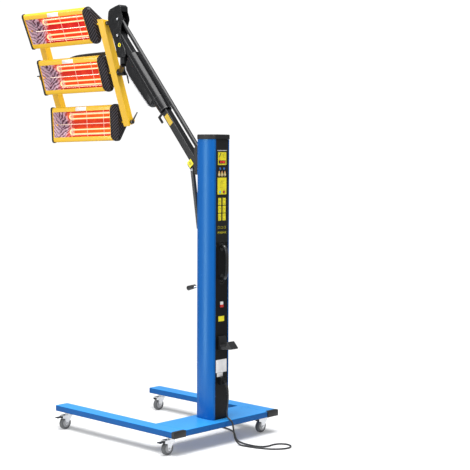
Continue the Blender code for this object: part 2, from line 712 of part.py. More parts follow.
def panels():
    back = PANEL_FACE + PANEL_THICKNESS
    sheet = box_mesh(
        "control_panel", (-PANEL_HALF, PANEL_FACE, PANEL_SPLIT + GAP), (PANEL_HALF, back, COLUMN_TOP - GAP)
    )
    upper = piece("control_panel", sheet, ROOT, "black_plastic")
    for name, across, height, radius, look in BUTTON_SPOTS:
        cut(upper, rod_mesh(
            name + "_bore", (across, PANEL_FACE - POCKET_DEPTH, height),
            (across, PANEL_FACE + POCKET_DEPTH, height), radius + BUTTON_GAP, segments=SMALL_SEGMENTS,
        ))
        button(name, across, height, radius, look)

    sheet = box_mesh(
        "lower_panel", (-PANEL_HALF, PANEL_FACE, LEG_TOP + GAP), (PANEL_HALF, back, PANEL_SPLIT - GAP)
    )
    lower = piece("lower_panel", sheet, ROOT, "black_plastic")
    inner = (ROCKER_WIDTH / 2 + ROCKER_GAP, ROCKER_HEIGHT / 2 + ROCKER_GAP)
    join(lower, box_mesh(
        "rocker_bezel",
        (-inner[0] - BEZEL_RIM, PANEL_FACE - BEZEL_PROUD, ROCKER_HEIGHT_AT - inner[1] - BEZEL_RIM),
        (inner[0] + BEZEL_RIM, PANEL_FACE + OVERLAP, ROCKER_HEIGHT_AT + inner[1] + BEZEL_RIM),
    ))
    cut(lower, box_mesh(
        "rocker_pocket", (-inner[0], PANEL_FACE - POCKET_DEPTH, ROCKER_HEIGHT_AT - inner[1]),
        (inner[0], back + POCKET_DEPTH, ROCKER_HEIGHT_AT + inner[1]),
    ))
    join(lower, box_mesh(
        "gland_block", (-GLAND_WIDTH / 2, PANEL_FACE - GLAND_DEPTH, GLAND_TOP - GLAND_HEIGHT),
        (GLAND_WIDTH / 2, PANEL_FACE + OVERLAP, GLAND_TOP),
    ), EDGE_BEVEL)
    join(lower, rod_mesh(
        "gland_nut", gland_exit(-GLAND_NUT_LENGTH), gland_exit(0), GLAND_NUT_RADIUS, segments=SMALL_SEGMENTS
    ))
    turn = Matrix.Rotation(-ROCKER_TILT, 4, "X")
    line = empty("rocker_line", ROOT, (0, PANEL_FACE + ROCKER_PIVOT_IN, ROCKER_HEIGHT_AT), turn)
    piece("rocker_switch", box_mesh(
        "rocker_switch", (-ROCKER_WIDTH / 2, -ROCKER_THICKNESS / 2 - BEZEL_PROUD, -ROCKER_HEIGHT / 2),
        (ROCKER_WIDTH / 2, ROCKER_THICKNESS / 2 - ROCKER_PIVOT_IN, ROCKER_HEIGHT / 2),
    ), line, "red_plastic")


def panel_fittings():
    front = PANEL_FACE - GAP
    middle = (HANDLE_TOP + HANDLE_BOTTOM) / 2
    half = (HANDLE_TOP - HANDLE_BOTTOM) / 2
    points = [(0, front, HANDLE_TOP)]
    for number in range(HANDLE_POINTS + 1):
        angle = math.pi * number / HANDLE_POINTS
        height = math.copysign(abs(math.cos(angle)) ** (2 / HANDLE_SQUARENESS), math.cos(angle))
        bulge = abs(math.sin(angle)) ** (2 / HANDLE_SQUARENESS)
        reach = HANDLE_RADIUS + (HANDLE_REACH - HANDLE_RADIUS) * bulge
        points.append((0, front - reach, middle + half * height))
    points.append((0, front, HANDLE_BOTTOM))
    tube_curve("grab_handle", points, HANDLE_RADIUS, TUBE_SIDES, ROOT, "black_plastic")
    outline = [(front - out, height) for out, height in HOOK_OUTLINE]
    hook = side_plate("cord_hook", outline, -HOOK_HALF_WIDTH, HOOK_HALF_WIDTH)
    piece("cord_hook", hook, ROOT, "black_plastic")


def gland_exit(along):
    """A point on the cord's line out of the gland, from the nut's mouth."""
    start = Vector((GLAND_OFFSET, PANEL_FACE - GLAND_DEPTH, GLAND_TOP - GLAND_HEIGHT * GLAND_MOUTH_SHARE))
    way = Vector((0, -math.cos(GLAND_DROP_ANGLE), -math.sin(GLAND_DROP_ANGLE)))
    return start + way * (GLAND_NUT_LENGTH / 2 + along)


def back_fittings():
    back = COLUMN_BACK + GAP
    half = BRACKET_PLATE_WIDTH / 2
    inner = ARM_WIDTH / 2 + BRACKET_CHEEK_GAP
    outer = inner + CHEEK_PLATE
    bracket = piece("pivot_bracket", box_mesh(
        "pivot_bracket", (-half, back, BRACKET_BOTTOM), (half, back + BACK_PLATE, BRACKET_TOP)
    ), ROOT, "black_paint")
    corner = BRACKET_CORNER
    outline = (
        (back + OVERLAP, BRACKET_BOTTOM), (BRACKET_END - corner, BRACKET_BOTTOM),
        (BRACKET_END, BRACKET_BOTTOM + corner), (BRACKET_END, BRACKET_TOP - corner),
        (BRACKET_END - corner, BRACKET_TOP), (back + OVERLAP, BRACKET_TOP),
    )
    for side in (-1, 1):
        near, far = sorted((side * inner, side * outer))
        join(bracket, side_plate("bracket_cheek_" + str(side), outline, near, far))
    for label, height in (("arm", ARM_PIVOT_HEIGHT), ("link", ARM_PIVOT_HEIGHT + LINK_RISE)):
        reach = outer + PIVOT_HEAD_LENGTH
        join(bracket, rod_mesh(
            label + "_pin", (-reach, ARM_PIVOT_BACK, height), (reach, ARM_PIVOT_BACK, height),
            PIVOT_PIN_RADIUS, segments=SMALL_SEGMENTS,
        ))
        for side in (-1, 1):
            join(bracket, rod_mesh(
                label + "_nut_" + str(side), (side * (outer - OVERLAP), ARM_PIVOT_BACK, height),
                (side * (outer + PIVOT_HEAD_LENGTH), ARM_PIVOT_BACK, height), PIVOT_HEAD_RADIUS,
                segments=SMALL_SEGMENTS,
            ))
    inner = STRUT_EYE_HALF + STRUT_LUG_GAP
    outer = inner + STRUT_LUG_THICKNESS
    foot = piece("strut_foot", box_mesh(
        "strut_foot", (-outer - STRUT_LUG_RADIUS, back, STRUT_FOOT_HEIGHT - 2 * STRUT_LUG_RADIUS),
        (outer + STRUT_LUG_RADIUS, back + STRUT_LUG_THICKNESS, STRUT_FOOT_HEIGHT + 2 * STRUT_LUG_RADIUS),
    ), ROOT, "black_paint")
    low = STRUT_FOOT_HEIGHT - STRUT_LUG_RADIUS
    high = STRUT_FOOT_HEIGHT + STRUT_LUG_RADIUS
    end = STRUT_FOOT_BACK + STRUT_LUG_RADIUS
    outline = (
        (back + OVERLAP, low), (end - STRUT_LUG_RADIUS / 2, low), (end, STRUT_FOOT_HEIGHT),
        (end - STRUT_LUG_RADIUS / 2, high), (back + OVERLAP, high),
    )
    for side in (-1, 1):
        near, far = sorted((side * inner, side * outer))
        join(foot, side_plate("strut_lug_" + str(side), outline, near, far))
    join(foot, rod_mesh(
        "strut_foot_pin", (-outer - STRUT_PIN_RADIUS, STRUT_FOOT_BACK, STRUT_FOOT_HEIGHT),
        (outer + STRUT_PIN_RADIUS, STRUT_FOOT_BACK, STRUT_FOOT_HEIGHT), STRUT_PIN_RADIUS,
        segments=SMALL_SEGMENTS,
    ))
    line = empty("back_lever_line", ROOT, (0, back, LEVER_HEIGHT_AT))
    collar = rod_mesh(
        "back_lever", (0, 0, 0), (0, LEVER_COLLAR_LENGTH, 0), LEVER_COLLAR_RADIUS, segments=SMALL_SEGMENTS
    )
    lever = piece("back_lever", collar, line, "steel")
    rod_end = (0, LEVER_ROD_END - back, -LEVER_ROOT_DROP)
    grip_end = (0, LEVER_GRIP_END - back, -LEVER_DROP)
    join(lever, rod_mesh(
        "lever_rod", (0, LEVER_COLLAR_LENGTH / 2, 0), grip_end, LEVER_ROD_RADIUS, segments=SMALL_SEGMENTS
    ))
    join(lever, rod_mesh(
        "lever_grip", rod_end, grip_end, LEVER_GRIP_ROOT_RADIUS, LEVER_GRIP_RADIUS,
        segments=SMALL_SEGMENTS,
    ))


ARM_TURN = Matrix.Rotation(ARM_ANGLE, 4, "X")
ARM_TOP = Vector((0, ARM_PIVOT_BACK, ARM_PIVOT_HEIGHT)) + ARM_TURN.to_3x3() @ Vector((0, ARM_LENGTH, 0))


def arm():
    line = empty("arm_line", ROOT, (0, ARM_PIVOT_BACK, ARM_PIVOT_HEIGHT), ARM_TURN)
    half = ARM_WIDTH / 2
    high = ARM_HEIGHT / 2
    bar = piece("main_arm", box_mesh(
        "main_arm", (-half, -ARM_FOOT_END, -high), (half, ARM_LENGTH + ARM_HEAD_END, high)
    ), line, "black_paint")
    bevel(bar, EDGE_BEVEL)
    cut(bar, box_mesh(
        "arm_hollow", (ARM_WALL - half, -ARM_FOOT_END - half, ARM_WALL - high),
        (half - ARM_WALL, ARM_LENGTH + ARM_HEAD_END + half, high - ARM_WALL),
    ))
    for label, along in (("low", 0), ("high", ARM_LENGTH)):
        cut(bar, rod_mesh(
            "arm_bore_" + label, (-ARM_WIDTH, along, 0), (ARM_WIDTH, along, 0), PIVOT_BORE_RADIUS,
            segments=SMALL_SEGMENTS,
        ))
    corner = STRUT_PLATE_THICKNESS
    outline = (
        (STRUT_PLATE_START, OVERLAP - high), (STRUT_PLATE_START + corner, -STRUT_PLATE_LOW),
        (STRUT_PLATE_END - corner, -STRUT_PLATE_LOW), (STRUT_PLATE_END, OVERLAP - high),
    )
    for side in (-1, 1):
        near, far = sorted((side * STRUT_PLATE_HALF, side * (STRUT_PLATE_HALF + STRUT_PLATE_THICKNESS)))
        join(bar, side_plate("strut_plate_" + str(side), outline, near, far))
        root = (side * (STRUT_PLATE_HALF + STRUT_PLATE_THICKNESS / 2), STRUT_TOP_ALONG, -STRUT_TOP_BELOW)
        tip = (side * (STRUT_PLATE_HALF + 2 * STRUT_PLATE_THICKNESS), STRUT_TOP_ALONG, -STRUT_TOP_BELOW)
        join(bar, rod_mesh(
            "strut_stud_" + str(side), root, tip, STRUT_PLATE_THICKNESS, segments=SMALL_SEGMENTS
        ))

    taper = COVER_START + (COVER_END - COVER_START) * COVER_TAPER_SHARE
    sleeve = piece("arm_cover", rod_mesh(
        "arm_cover", (0, taper, 0), (0, COVER_END, 0), COVER_RADIUS
    ), line, "black_plastic")
    join(sleeve, rod_mesh(
        "cover_taper", (0, COVER_START, 0), (0, taper + OVERLAP, 0), COVER_SMALL_RADIUS, COVER_RADIUS
    ))
    hook = COVER_HOOK_RADIUS
    join(sleeve, box_mesh(
        "cover_hook_drop", (-hook, COVER_START + hook, -COVER_HOOK_LOW), (hook, COVER_START + 3 * hook, 0)
    ))
    join(sleeve, box_mesh(
        "cover_hook_toe", (-hook, COVER_HOOK_START, -COVER_HOOK_LOW),
        (hook, COVER_START + 2 * hook, 2 * hook - COVER_HOOK_LOW),
    ))
    around = COVER_ARM_GAP
    cut(sleeve, box_mesh(
        "cover_bore", (-half - around, COVER_HOOK_START - half, -high - around),
        (half + around, COVER_END + half, high + around),
    ))

    line = empty("link_line", ROOT, (0, ARM_PIVOT_BACK, ARM_PIVOT_HEIGHT + LINK_RISE), ARM_TURN)
    rod = rod_mesh("link_rod", (0, 0, 0), (0, ARM_LENGTH, 0), LINK_RADIUS, segments=SMALL_SEGMENTS)
    link = piece("link_rod", rod, line, "black_paint")
    for label, along in (("low", 0), ("high", ARM_LENGTH)):
        join(link, rod_mesh(
            "link_eye_" + label, (-LINK_EYE_HALF, along, 0), (LINK_EYE_HALF, along, 0), LINK_EYE_RADIUS,
            segments=SMALL_SEGMENTS,
        ))
        cut(link, rod_mesh(
            "link_bore_" + label, (-ARM_WIDTH, along, 0), (ARM_WIDTH, along, 0), PIVOT_BORE_RADIUS,
            segments=SMALL_SEGMENTS,
        ))


def strut():
    foot = Vector((0, STRUT_FOOT_BACK, STRUT_FOOT_HEIGHT))
    lever = ARM_TURN.to_3x3() @ Vector((0, STRUT_TOP_ALONG, -STRUT_TOP_BELOW))
    top = Vector((0, ARM_PIVOT_BACK, ARM_PIVOT_HEIGHT)) + lever
    run = top - foot
    turn = Matrix.Rotation(-math.atan2(run.y, run.z), 4, "X")
    line = empty("strut_line", ROOT, foot, turn)
    length = run.length
    tube_end = length - STRUT_NECK_LENGTH
    tube_start = tube_end - STRUT_TUBE_LENGTH
    eye = rod_mesh(
        "strut_rod", (-STRUT_EYE_HALF, 0, 0), (STRUT_EYE_HALF, 0, 0), STRUT_EYE_RADIUS,
        segments=SMALL_SEGMENTS,
    )
    rod = piece("strut_rod", eye, line, "steel")
    join(rod, rod_mesh(
        "strut_rod_bar", (0, 0, STRUT_EYE_RADIUS / 2), (0, 0, tube_start + STRUT_ROD_INSIDE),
        STRUT_ROD_RADIUS, segments=SMALL_SEGMENTS,
    ))
    cut(rod, rod_mesh(
        "strut_rod_bore", (-STRUT_EYE_RADIUS, 0, 0), (STRUT_EYE_RADIUS, 0, 0), STRUT_PIN_RADIUS + GAP,
        segments=SMALL_SEGMENTS,
    ))
    slide = empty("strut_slide_line", line, (0, 0, tube_start))
    tube = piece("strut_cylinder", rod_mesh(
        "strut_cylinder", (0, 0, 0), (0, 0, STRUT_TUBE_LENGTH), STRUT_TUBE_RADIUS
    ), slide, "black_paint")
    join(tube, rod_mesh(
        "strut_neck", (0, 0, STRUT_TUBE_LENGTH - OVERLAP), (0, 0, length - tube_start),
        STRUT_TOP_EYE_RADIUS / 2, segments=SMALL_SEGMENTS,
    ))
    join(tube, rod_mesh(
        "strut_top_eye", (-STRUT_EYE_HALF, 0, length - tube_start), (STRUT_EYE_HALF, 0, length - tube_start),
        STRUT_TOP_EYE_RADIUS, segments=SMALL_SEGMENTS,
    ))
    cut(tube, rod_mesh(
        "strut_bore", (0, 0, -OVERLAP), (0, 0, STRUT_BORE_DEPTH), STRUT_BORE_RADIUS,
        segments=SMALL_SEGMENTS,
    ))


def casting():
    line = empty("casting_line", ROOT, ARM_TOP)
    half = CASTING_HALF_WIDTH
    block = side_plate("head_casting", CASTING_OUTLINE, -half, half)
    body = piece("head_casting", block, line, "black_paint")
    bevel(body, CASTING_CORNER, BEVEL_STEPS)
    cut(body, side_plate("casting_slot", SLOT_OUTLINE, -SLOT_HALF_WIDTH, SLOT_HALF_WIDTH))
    for label, rise in (("arm", 0), ("link", LINK_RISE)):
        join(body, rod_mesh(
            "casting_" + label + "_pin", (-half - CASTING_BOLT_LENGTH / 2, 0, rise),
            (half + CASTING_BOLT_LENGTH / 2, 0, rise), CASTING_PIN_RADIUS, segments=SMALL_SEGMENTS,
        ))
        for side in (-1, 1):
            join(body, rod_mesh(
                "casting_" + label + "_bolt_" + str(side), (side * (half - OVERLAP), 0, rise),
                (side * (half + CASTING_BOLT_LENGTH), 0, rise), CASTING_BOLT_RADIUS,
                segments=SMALL_SEGMENTS,
            ))
    bottom = min(height for _, height in CASTING_OUTLINE)
    cut(body, rod_mesh(
        "swivel_socket", (0, SWIVEL_FROM_PIVOT, bottom - OVERLAP),
        (0, SWIVEL_FROM_PIVOT, bottom + SWIVEL_PIN_UP + OVERLAP), SWIVEL_PIN_BORE, segments=SMALL_SEGMENTS,
    ))
    return bottom


HEAD_LONG = Vector((
    -math.sin(HEAD_YAW) * math.cos(HEAD_DIP), math.cos(HEAD_YAW) * math.cos(HEAD_DIP), -math.sin(HEAD_DIP)
))
HEAD_BACK = Vector((math.cos(HEAD_YAW), math.sin(HEAD_YAW), 0))
HEAD_UP = HEAD_BACK.cross(HEAD_LONG)
HEAD_TURN = Matrix((HEAD_BACK, HEAD_LONG, HEAD_UP)).transposed().to_4x4()


def head_arm(casting_bottom):
    top = ARM_TOP.z + casting_bottom - GAP
    swivel_at = Vector((0, ARM_TOP.y + SWIVEL_FROM_PIVOT, top))
    line = empty("swivel_line", ROOT, swivel_at)
    collar = rod_mesh("head_arm", (0, 0, -SWIVEL_COLLAR_LENGTH), (0, 0, 0), SWIVEL_COLLAR_RADIUS)
    body = piece("head_arm", collar, line, "black_paint")
    join(body, rod_mesh(
        "swivel_pin", (0, 0, -OVERLAP), (0, 0, SWIVEL_PIN_UP), SWIVEL_PIN_RADIUS, segments=SMALL_SEGMENTS
    ))
    tip = ARM_TOP + Vector(TILT_FROM_ARM_TOP) - swivel_at
    hub_start = tip - HEAD_LONG * TILT_HUB_LENGTH
    hub_end = tip - HEAD_LONG * GAP
    join(body, rod_mesh(
        "head_arm_bar", (0, 0, -SWIVEL_COLLAR_LENGTH), hub_start.lerp(hub_end, HEAD_ARM_TIP_SHARE),
        HEAD_ARM_ROOT_RADIUS, HEAD_ARM_TIP_RADIUS, segments=SMALL_SEGMENTS,
    ))
    join(body, rod_mesh("tilt_hub", hub_start, hub_end, TILT_HUB_RADIUS))
    join(body, rod_mesh(
        "tilt_pin", tip - HEAD_LONG * OVERLAP, tip + HEAD_LONG * (BAR_SIDE - OVERLAP), TILT_PIN_RADIUS,
        segments=SMALL_SEGMENTS,
    ))
    clamp("tilt_clamp", line, hub_start - HEAD_LONG * GAP, TILT_CLAMP_ANGLE, HEAD_TURN)
    return line, tip


def clamp(name, parent, place, angle, turn=Matrix.Identity(4)):
    """A hub with a lever, on an axis that runs along the head."""
    line = empty(name + "_line", parent, place, turn @ Matrix.Rotation(angle, 4, "Y"))
    hub = rod_mesh(name, (0, -CLAMP_HUB_LENGTH, 0), (0, 0, 0), CLAMP_HUB_RADIUS, segments=SMALL_SEGMENTS)
    body = piece(name, hub, line, "black_plastic")
    start = Vector((0, -CLAMP_HUB_LENGTH / 2, 0))
    end = Vector((0, -CLAMP_HUB_LENGTH, CLAMP_LEVER_LENGTH))
    join(body, rod_mesh(
        name + "_lever", start, end, CLAMP_ROOT_RADIUS, CLAMP_TIP_RADIUS, segments=SMALL_SEGMENTS
    ))


def bar_mesh(name, along, depth):
    """A square bar along Z with its back corner cut obliquely at both ends."""
    half = BAR_SIDE / 2
    slope = BAR_SIDE * BAR_CUT_SHARE
    long = BAR_HALF_LENGTH
    outline = (
        (depth - half, -long), (depth + half, slope - long),
        (depth + half, long - slope), (depth - half, long),
    )
    return fore_plate(name, outline, along, along + BAR_SIDE)


def bent_tube(name, root_height, foot_height, route, radius, frame, look):
    """A tube from the near bar's back face to the far bar's near face, square to both."""
    root = Vector((BAR_SIDE / 2 + GAP, BAR_SIDE / 2, root_height))
    foot = Vector((FAR_BAR_BACK, FAR_BAR_AT - GAP, foot_height))
    start = root + Vector((radius, 0, 0))
    end = foot - Vector((0, radius, 0))
    points, _ = smooth_path([start, *route, end], TUBE_STEP)
    tube_curve(name, [root, *points, foot], radius, TUBE_SIDES, frame, look)


def ladder(head_line):
    """The two bars, the tubes that join them, and the bow handle."""
    half = BAR_SIDE / 2
    frame = empty("ladder_line", head_line, (0, 0, 0), Matrix.Rotation(-BAR_LEAN, 4, "Y"))
    near = piece("near_bar", bar_mesh("near_bar", 0, 0), frame, "yellow_paint")
    cut(near, rod_mesh(
        "tilt_bore", (0, -BAR_SIDE, 0), (0, BAR_SIDE - GAP, 0), TILT_BORE_RADIUS, segments=SMALL_SEGMENTS
    ))
    far = piece("far_bar", bar_mesh("far_bar", FAR_BAR_AT, FAR_BAR_BACK), frame, "yellow_paint")
    for bar, name, depth, along in (
        (near, "near_hollow", 0, 0), (far, "far_hollow", FAR_BAR_BACK, FAR_BAR_AT),
    ):
        inner = half - BAR_WALL
        cut(bar, box_mesh(
            name, (depth - inner, along + BAR_WALL, -BAR_HALF_LENGTH - BAR_SIDE),
            (depth + inner, along + BAR_SIDE - BAR_WALL, BAR_HALF_LENGTH - BAR_SIDE),
        ))
    far_face = CASSETTE_START + NEAR_CAP_LENGTH + CASSETTE_BODY_LENGTH + FAR_CAP_LENGTH
    for label, height, _, _ in CASSETTE_PLACES:
        stub_end = CASSETTE_START + PIVOT_STUB_IN
        join(near, rod_mesh(
            "near_stub_" + label, (0, BAR_SIDE - OVERLAP, height), (0, stub_end, height), PIVOT_STUB_RADIUS,
            segments=SMALL_SEGMENTS,
        ))
        join(far, box_mesh(
            "far_lug_" + label, (-LUG_HALF_HEIGHT, FAR_BAR_AT, height - LUG_HALF_HEIGHT),
            (FAR_BAR_BACK - half + OVERLAP, FAR_BAR_AT + LUG_THICKNESS, height + LUG_HALF_HEIGHT),
        ))
        join(far, rod_mesh(
            "far_stub_" + label, (0, far_face - FAR_CAP_LENGTH - PIVOT_STUB_IN / 2, height),
            (0, FAR_BAR_AT + LUG_THICKNESS / 2, height), PIVOT_STUB_RADIUS, segments=SMALL_SEGMENTS,
        ))
    for label, height in ((place[0], place[1]) for place in CASSETTE_PLACES if place[1]):
        level = height - CROSS_TUBE_DROP
        route = [(across, along, level) for across, along in CROSS_TUBE_ROUTE]
        bent_tube(label + "_cross_tube", level, level, route, TUBE_RADIUS, frame, "yellow_paint")
    bent_tube(
        "bow_handle", BOW_HANDLE_ROOT_HEIGHT, -CROSS_TUBE_DROP, BOW_HANDLE_ROUTE, BOW_HANDLE_RADIUS, frame,
        "black_plastic",
    )
    for label, angle in (("top", TOP_CLAMP_ANGLE), ("bottom", BOTTOM_CLAMP_ANGLE)):
        height = [at for name, at, _, _ in CASSETTE_PLACES if name == label][0]
        clamp(label + "_clamp", frame, (0, -GAP, height), angle)
    return frame


def cassette_outline(front, grow=0.0):
    """End outline of a cassette as (X, Z): a tall face at -X and an apex at the back."""
    half = CASSETTE_HEIGHT / 2 - grow
    face = grow - front
    back = face + CASSETTE_DEPTH - 2 * grow
    corner = FACE_CORNER
    apex = APEX_HALF_HEIGHT - grow
    upper = (
        (face, half - corner), (face + corner * FACE_CORNER_SHARE, half - corner * FACE_CORNER_SHARE),
        (face + corner, half),
        (face + 2 * corner, half), (back - corner, apex + corner / 2), (back, apex / 2),
    )
    return list(upper) + [(across, -up) for across, up in reversed(upper)]


def cassette(label, frame, height, standoff, tilt):
    line = empty(
        label + "_cassette_line", frame, (0, 0, height), Matrix.Rotation(BAR_LEAN - tilt, 4, "Y")
    )
    face = -standoff
    start = CASSETTE_START
    inner = start + NEAR_CAP_LENGTH
    end = inner + CASSETTE_BODY_LENGTH
    cap = fore_plate(label + "_near_cap", cassette_outline(standoff), start, inner - GAP)
    near = piece(label + "_near_cap", cap, line, "black_plastic")
    bevel(near, EDGE_BEVEL)
    cut(near, rod_mesh(
        label + "_near_bore", (0, start - OVERLAP, 0), (0, start + PIVOT_STUB_IN + OVERLAP, 0),
        PIVOT_STUB_BORE, segments=SMALL_SEGMENTS,
    ))
    shell = fore_plate(label + "_housing", cassette_outline(standoff, HOUSING_INSET), inner, end)
    body = piece(label + "_housing", shell, line, "yellow_paint")
    cavity = [(face + depth, half) for depth, half in CAVITY_OUTLINE]
    cavity += [(across, -up) for across, up in reversed(cavity)]
    cut(body, fore_plate(label + "_cavity", cavity, inner + CAVITY_END_WALL, end - CAVITY_END_WALL))
    cap = fore_plate(label + "_far_cap", cassette_outline(standoff), end + GAP, end + FAR_CAP_LENGTH)
    far = piece(label + "_far_cap", cap, line, "black_plastic")
    for target in (body, far):
        cut(target, rod_mesh(
            target.name + "_far_bore", (0, end - PIVOT_STUB_IN, 0), (0, end + 2 * FAR_CAP_LENGTH, 0),
            PIVOT_STUB_BORE, segments=SMALL_SEGMENTS,
        ))
    lamps(label, line, face + LAMP_SETBACK, inner + CAVITY_END_WALL + GAP)


def lamps(label, line, depth, start):
    """Two U-shaped tubes on one base strip."""
    half = LAMP_BASE_WIDTH / 2
    strip = box_mesh(
        label + "_lamps", (depth - LAMP_BASE_HALF_DEPTH, start, -half),
        (depth + LAMP_BASE_HALF_DEPTH, start + LAMP_START, half),
    )
    body = piece(label + "_lamps", strip, line, "lamp_quartz")
    end = start + LAMP_LENGTH
    for number, row in enumerate(LAMP_ROWS):
        for side in (-1, 1):
            height = row + side * LAMP_LEG_SPACING / 2
            join(body, rod_mesh(
                label + "_lamp_" + str(number) + "_" + str(side), (depth, start + LAMP_START / 2, height),
                (depth, end, height), LAMP_RADIUS, segments=FEW_SEGMENTS,
            ))
        join(body, box_mesh(
            label + "_lamp_bridge_" + str(number),
            (depth - LAMP_LINK_HALF_DEPTH, end - LAMP_LINK_LENGTH, row - LAMP_LEG_SPACING / 2),
            (depth + LAMP_LINK_HALF_DEPTH, end - OVERLAP, row + LAMP_LEG_SPACING / 2),
        ))


def cord():
    """The lead from the gland, its coil on the floor and the plug."""
    outlet = [gland_exit(2 * CORD_RADIUS)]
    centre = Vector((*COIL_CENTRE, 0))
    floor = CORD_RADIUS + FLOOR_CLEARANCE
    outer_radius = COIL_INNER_RADIUS + COIL_PITCH * COIL_TURNS
    start_point = centre + Vector((outer_radius, 0, floor))
    approach = start_point - Vector((0, CORD_RADIUS * 2, 0))
    route = outlet + [Vector(at) for at in CORD_ROUTE] + [approach - Vector((0, CORD_STEP, 0)), approach]
    points, lead_length = smooth_path(route, CORD_STEP)
    for at in points:
        at.z = max(at.z, floor)
    points = [gland_exit(GAP), *points]
    tube_curve("cord_lead", points, CORD_RADIUS, TUBE_SIDES, ROOT, "cord_grey")

    coil = [approach + Vector((0, GAP, 0))]
    angle = 0.0
    for layer in range(COIL_LAYERS):
        inward = layer % 2 == 0
        turns = COIL_LAST_TURNS if layer == COIL_LAYERS - 1 else COIL_TURNS
        steps = round(turns * COIL_POINTS)
        climb = round(COIL_CLIMB_SHARE * COIL_POINTS)
        height = floor + COIL_LAYER * layer
        for number in range(steps + 1):
            grown = COIL_PITCH * number / COIL_POINTS
            radius = outer_radius - grown if inward else COIL_INNER_RADIUS + grown
            around = Vector((math.cos(angle), math.sin(angle), 0))
            coil.append(centre + around * radius + Vector((0, 0, height)))
            if number < steps:
                angle += 2 * math.pi / COIL_POINTS
        if layer < COIL_LAYERS - 1:
            for number in range(1, climb + 1):
                angle += 2 * math.pi / COIL_POINTS
                rise = COIL_LAYER * number / climb
                if number < climb:
                    around = Vector((math.cos(angle), math.sin(angle), 0))
                    coil.append(centre + around * radius + Vector((0, 0, height + rise)))
    leave = Vector((-math.sin(angle), math.cos(angle), 0))
    last = coil[-1]
    drop = last.z - PLUG_RADIUS - FLOOR_CLEARANCE
    for number, fall in enumerate(COIL_DROP_SHARES, 1):
        coil.append(last + leave * CORD_STEP * number - Vector((0, 0, drop * fall)))
    coil.append(coil[-1] + leave * CORD_STEP)
    tube_curve("cord_coil", coil, CORD_RADIUS, COIL_SIDES, ROOT, "cord_grey")
    least = min(
        (first - second).length
        for number, first in enumerate(coil)
        for second in coil[number + COIL_POINTS // 2:]
    )
    coil_length = sum((second - first).length for first, second in zip(coil, coil[1:]))
    length = lead_length + coil_length
    print("cord length %.4f, least gap in the coil %.5f" % (length, least - 2 * CORD_RADIUS))

    way = leave
    start = coil[-1] + way * GAP
    neck_end = start + way * PLUG_NECK_LENGTH
    neck = rod_mesh(
        "mains_plug", start, neck_end, PLUG_NECK_RADIUS, PLUG_NECK_END_RADIUS, segments=SMALL_SEGMENTS
    )
    plug = piece("mains_plug", neck, ROOT, "black_plastic")
    body_end = neck_end + way * PLUG_LENGTH
    join(plug, rod_mesh("plug_body", neck_end - way * OVERLAP, body_end, PLUG_BODY_RADIUS, PLUG_RADIUS))
    across = Vector((-way.y, way.x, 0)) * PLUG_PIN_SPACING
    for label, offset in (("a", across), ("b", -across)):
        join(plug, rod_mesh(
            "plug_pin_" + label, body_end + offset - way * OVERLAP, body_end + offset + way * PLUG_PIN_LENGTH,
            PLUG_PIN_RADIUS, segments=FEW_SEGMENTS,
        ))


def settle():
    """Stand the lamp on the floor with the middle of its floor box at the origin; the cord isn't counted."""
    bpy.context.view_layer.update()
    graph = bpy.context.evaluated_depsgraph_get()
    low = [math.inf, math.inf]
    high = [-math.inf, -math.inf]
    for obj in LAMP.objects:
        if obj.type == "EMPTY" or obj.name in ("cord_lead", "cord_coil", "mains_plug"):
            continue
        shown = obj.evaluated_get(graph)
        mesh = shown.to_mesh()
        for vertex in mesh.vertices:
            at = shown.matrix_world @ vertex.co
            for axis in range(2):
                low[axis] = min(low[axis], at[axis])
                high[axis] = max(high[axis], at[axis])
        shown.to_mesh_clear()
    ROOT.location = (-(low[0] + high[0]) / 2, -(low[1] + high[1]) / 2, 0)
    bpy.context.view_layer.update()


base_frame()
casters()
column()
panels()
panel_fittings()
back_fittings()
arm()
strut()
swivel_line, tip = head_arm(casting())
HEAD = empty("head_line", swivel_line, tip, HEAD_TURN)
LADDER = ladder(HEAD)
for place in CASSETTE_PLACES:
    cassette(place[0], LADDER, *place[1:])
cord()
settle()
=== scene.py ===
"""Looks of a wheeled infrared paint curing lamp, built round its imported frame. Metres, +Z up."""
import bmesh
import bpy
from math import copysign, cos, pi, radians, sin, sqrt
from mathutils import Matrix, Vector

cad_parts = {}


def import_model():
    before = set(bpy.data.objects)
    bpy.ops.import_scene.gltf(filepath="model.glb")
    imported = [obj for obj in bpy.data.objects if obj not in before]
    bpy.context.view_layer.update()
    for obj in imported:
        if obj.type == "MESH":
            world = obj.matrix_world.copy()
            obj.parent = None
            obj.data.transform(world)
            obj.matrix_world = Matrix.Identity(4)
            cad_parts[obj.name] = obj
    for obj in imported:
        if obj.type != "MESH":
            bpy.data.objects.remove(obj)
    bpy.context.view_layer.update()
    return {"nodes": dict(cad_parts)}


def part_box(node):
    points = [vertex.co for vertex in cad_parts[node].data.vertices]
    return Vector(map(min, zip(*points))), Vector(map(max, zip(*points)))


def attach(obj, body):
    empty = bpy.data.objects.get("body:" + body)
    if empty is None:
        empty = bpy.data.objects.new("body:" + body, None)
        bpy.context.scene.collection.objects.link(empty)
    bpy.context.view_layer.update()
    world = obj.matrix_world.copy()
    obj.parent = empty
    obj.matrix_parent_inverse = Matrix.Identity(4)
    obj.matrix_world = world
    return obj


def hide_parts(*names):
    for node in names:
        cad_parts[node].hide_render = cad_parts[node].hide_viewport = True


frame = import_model()
NODES = frame["nodes"]
scene = bpy.context.scene

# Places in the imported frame; SHIFT is where the CAD source's origin lies in it
SHIFT = Vector((0.021, -0.7338, 0.0))
PANEL_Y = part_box("control_panel")[0].y
COLUMN_LOW, COLUMN_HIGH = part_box("column")
COLUMN_MIDDLE = (COLUMN_LOW.x + COLUMN_HIGH.x) / 2
CORNERS = ("front_left", "front_right", "rear_left", "rear_right")

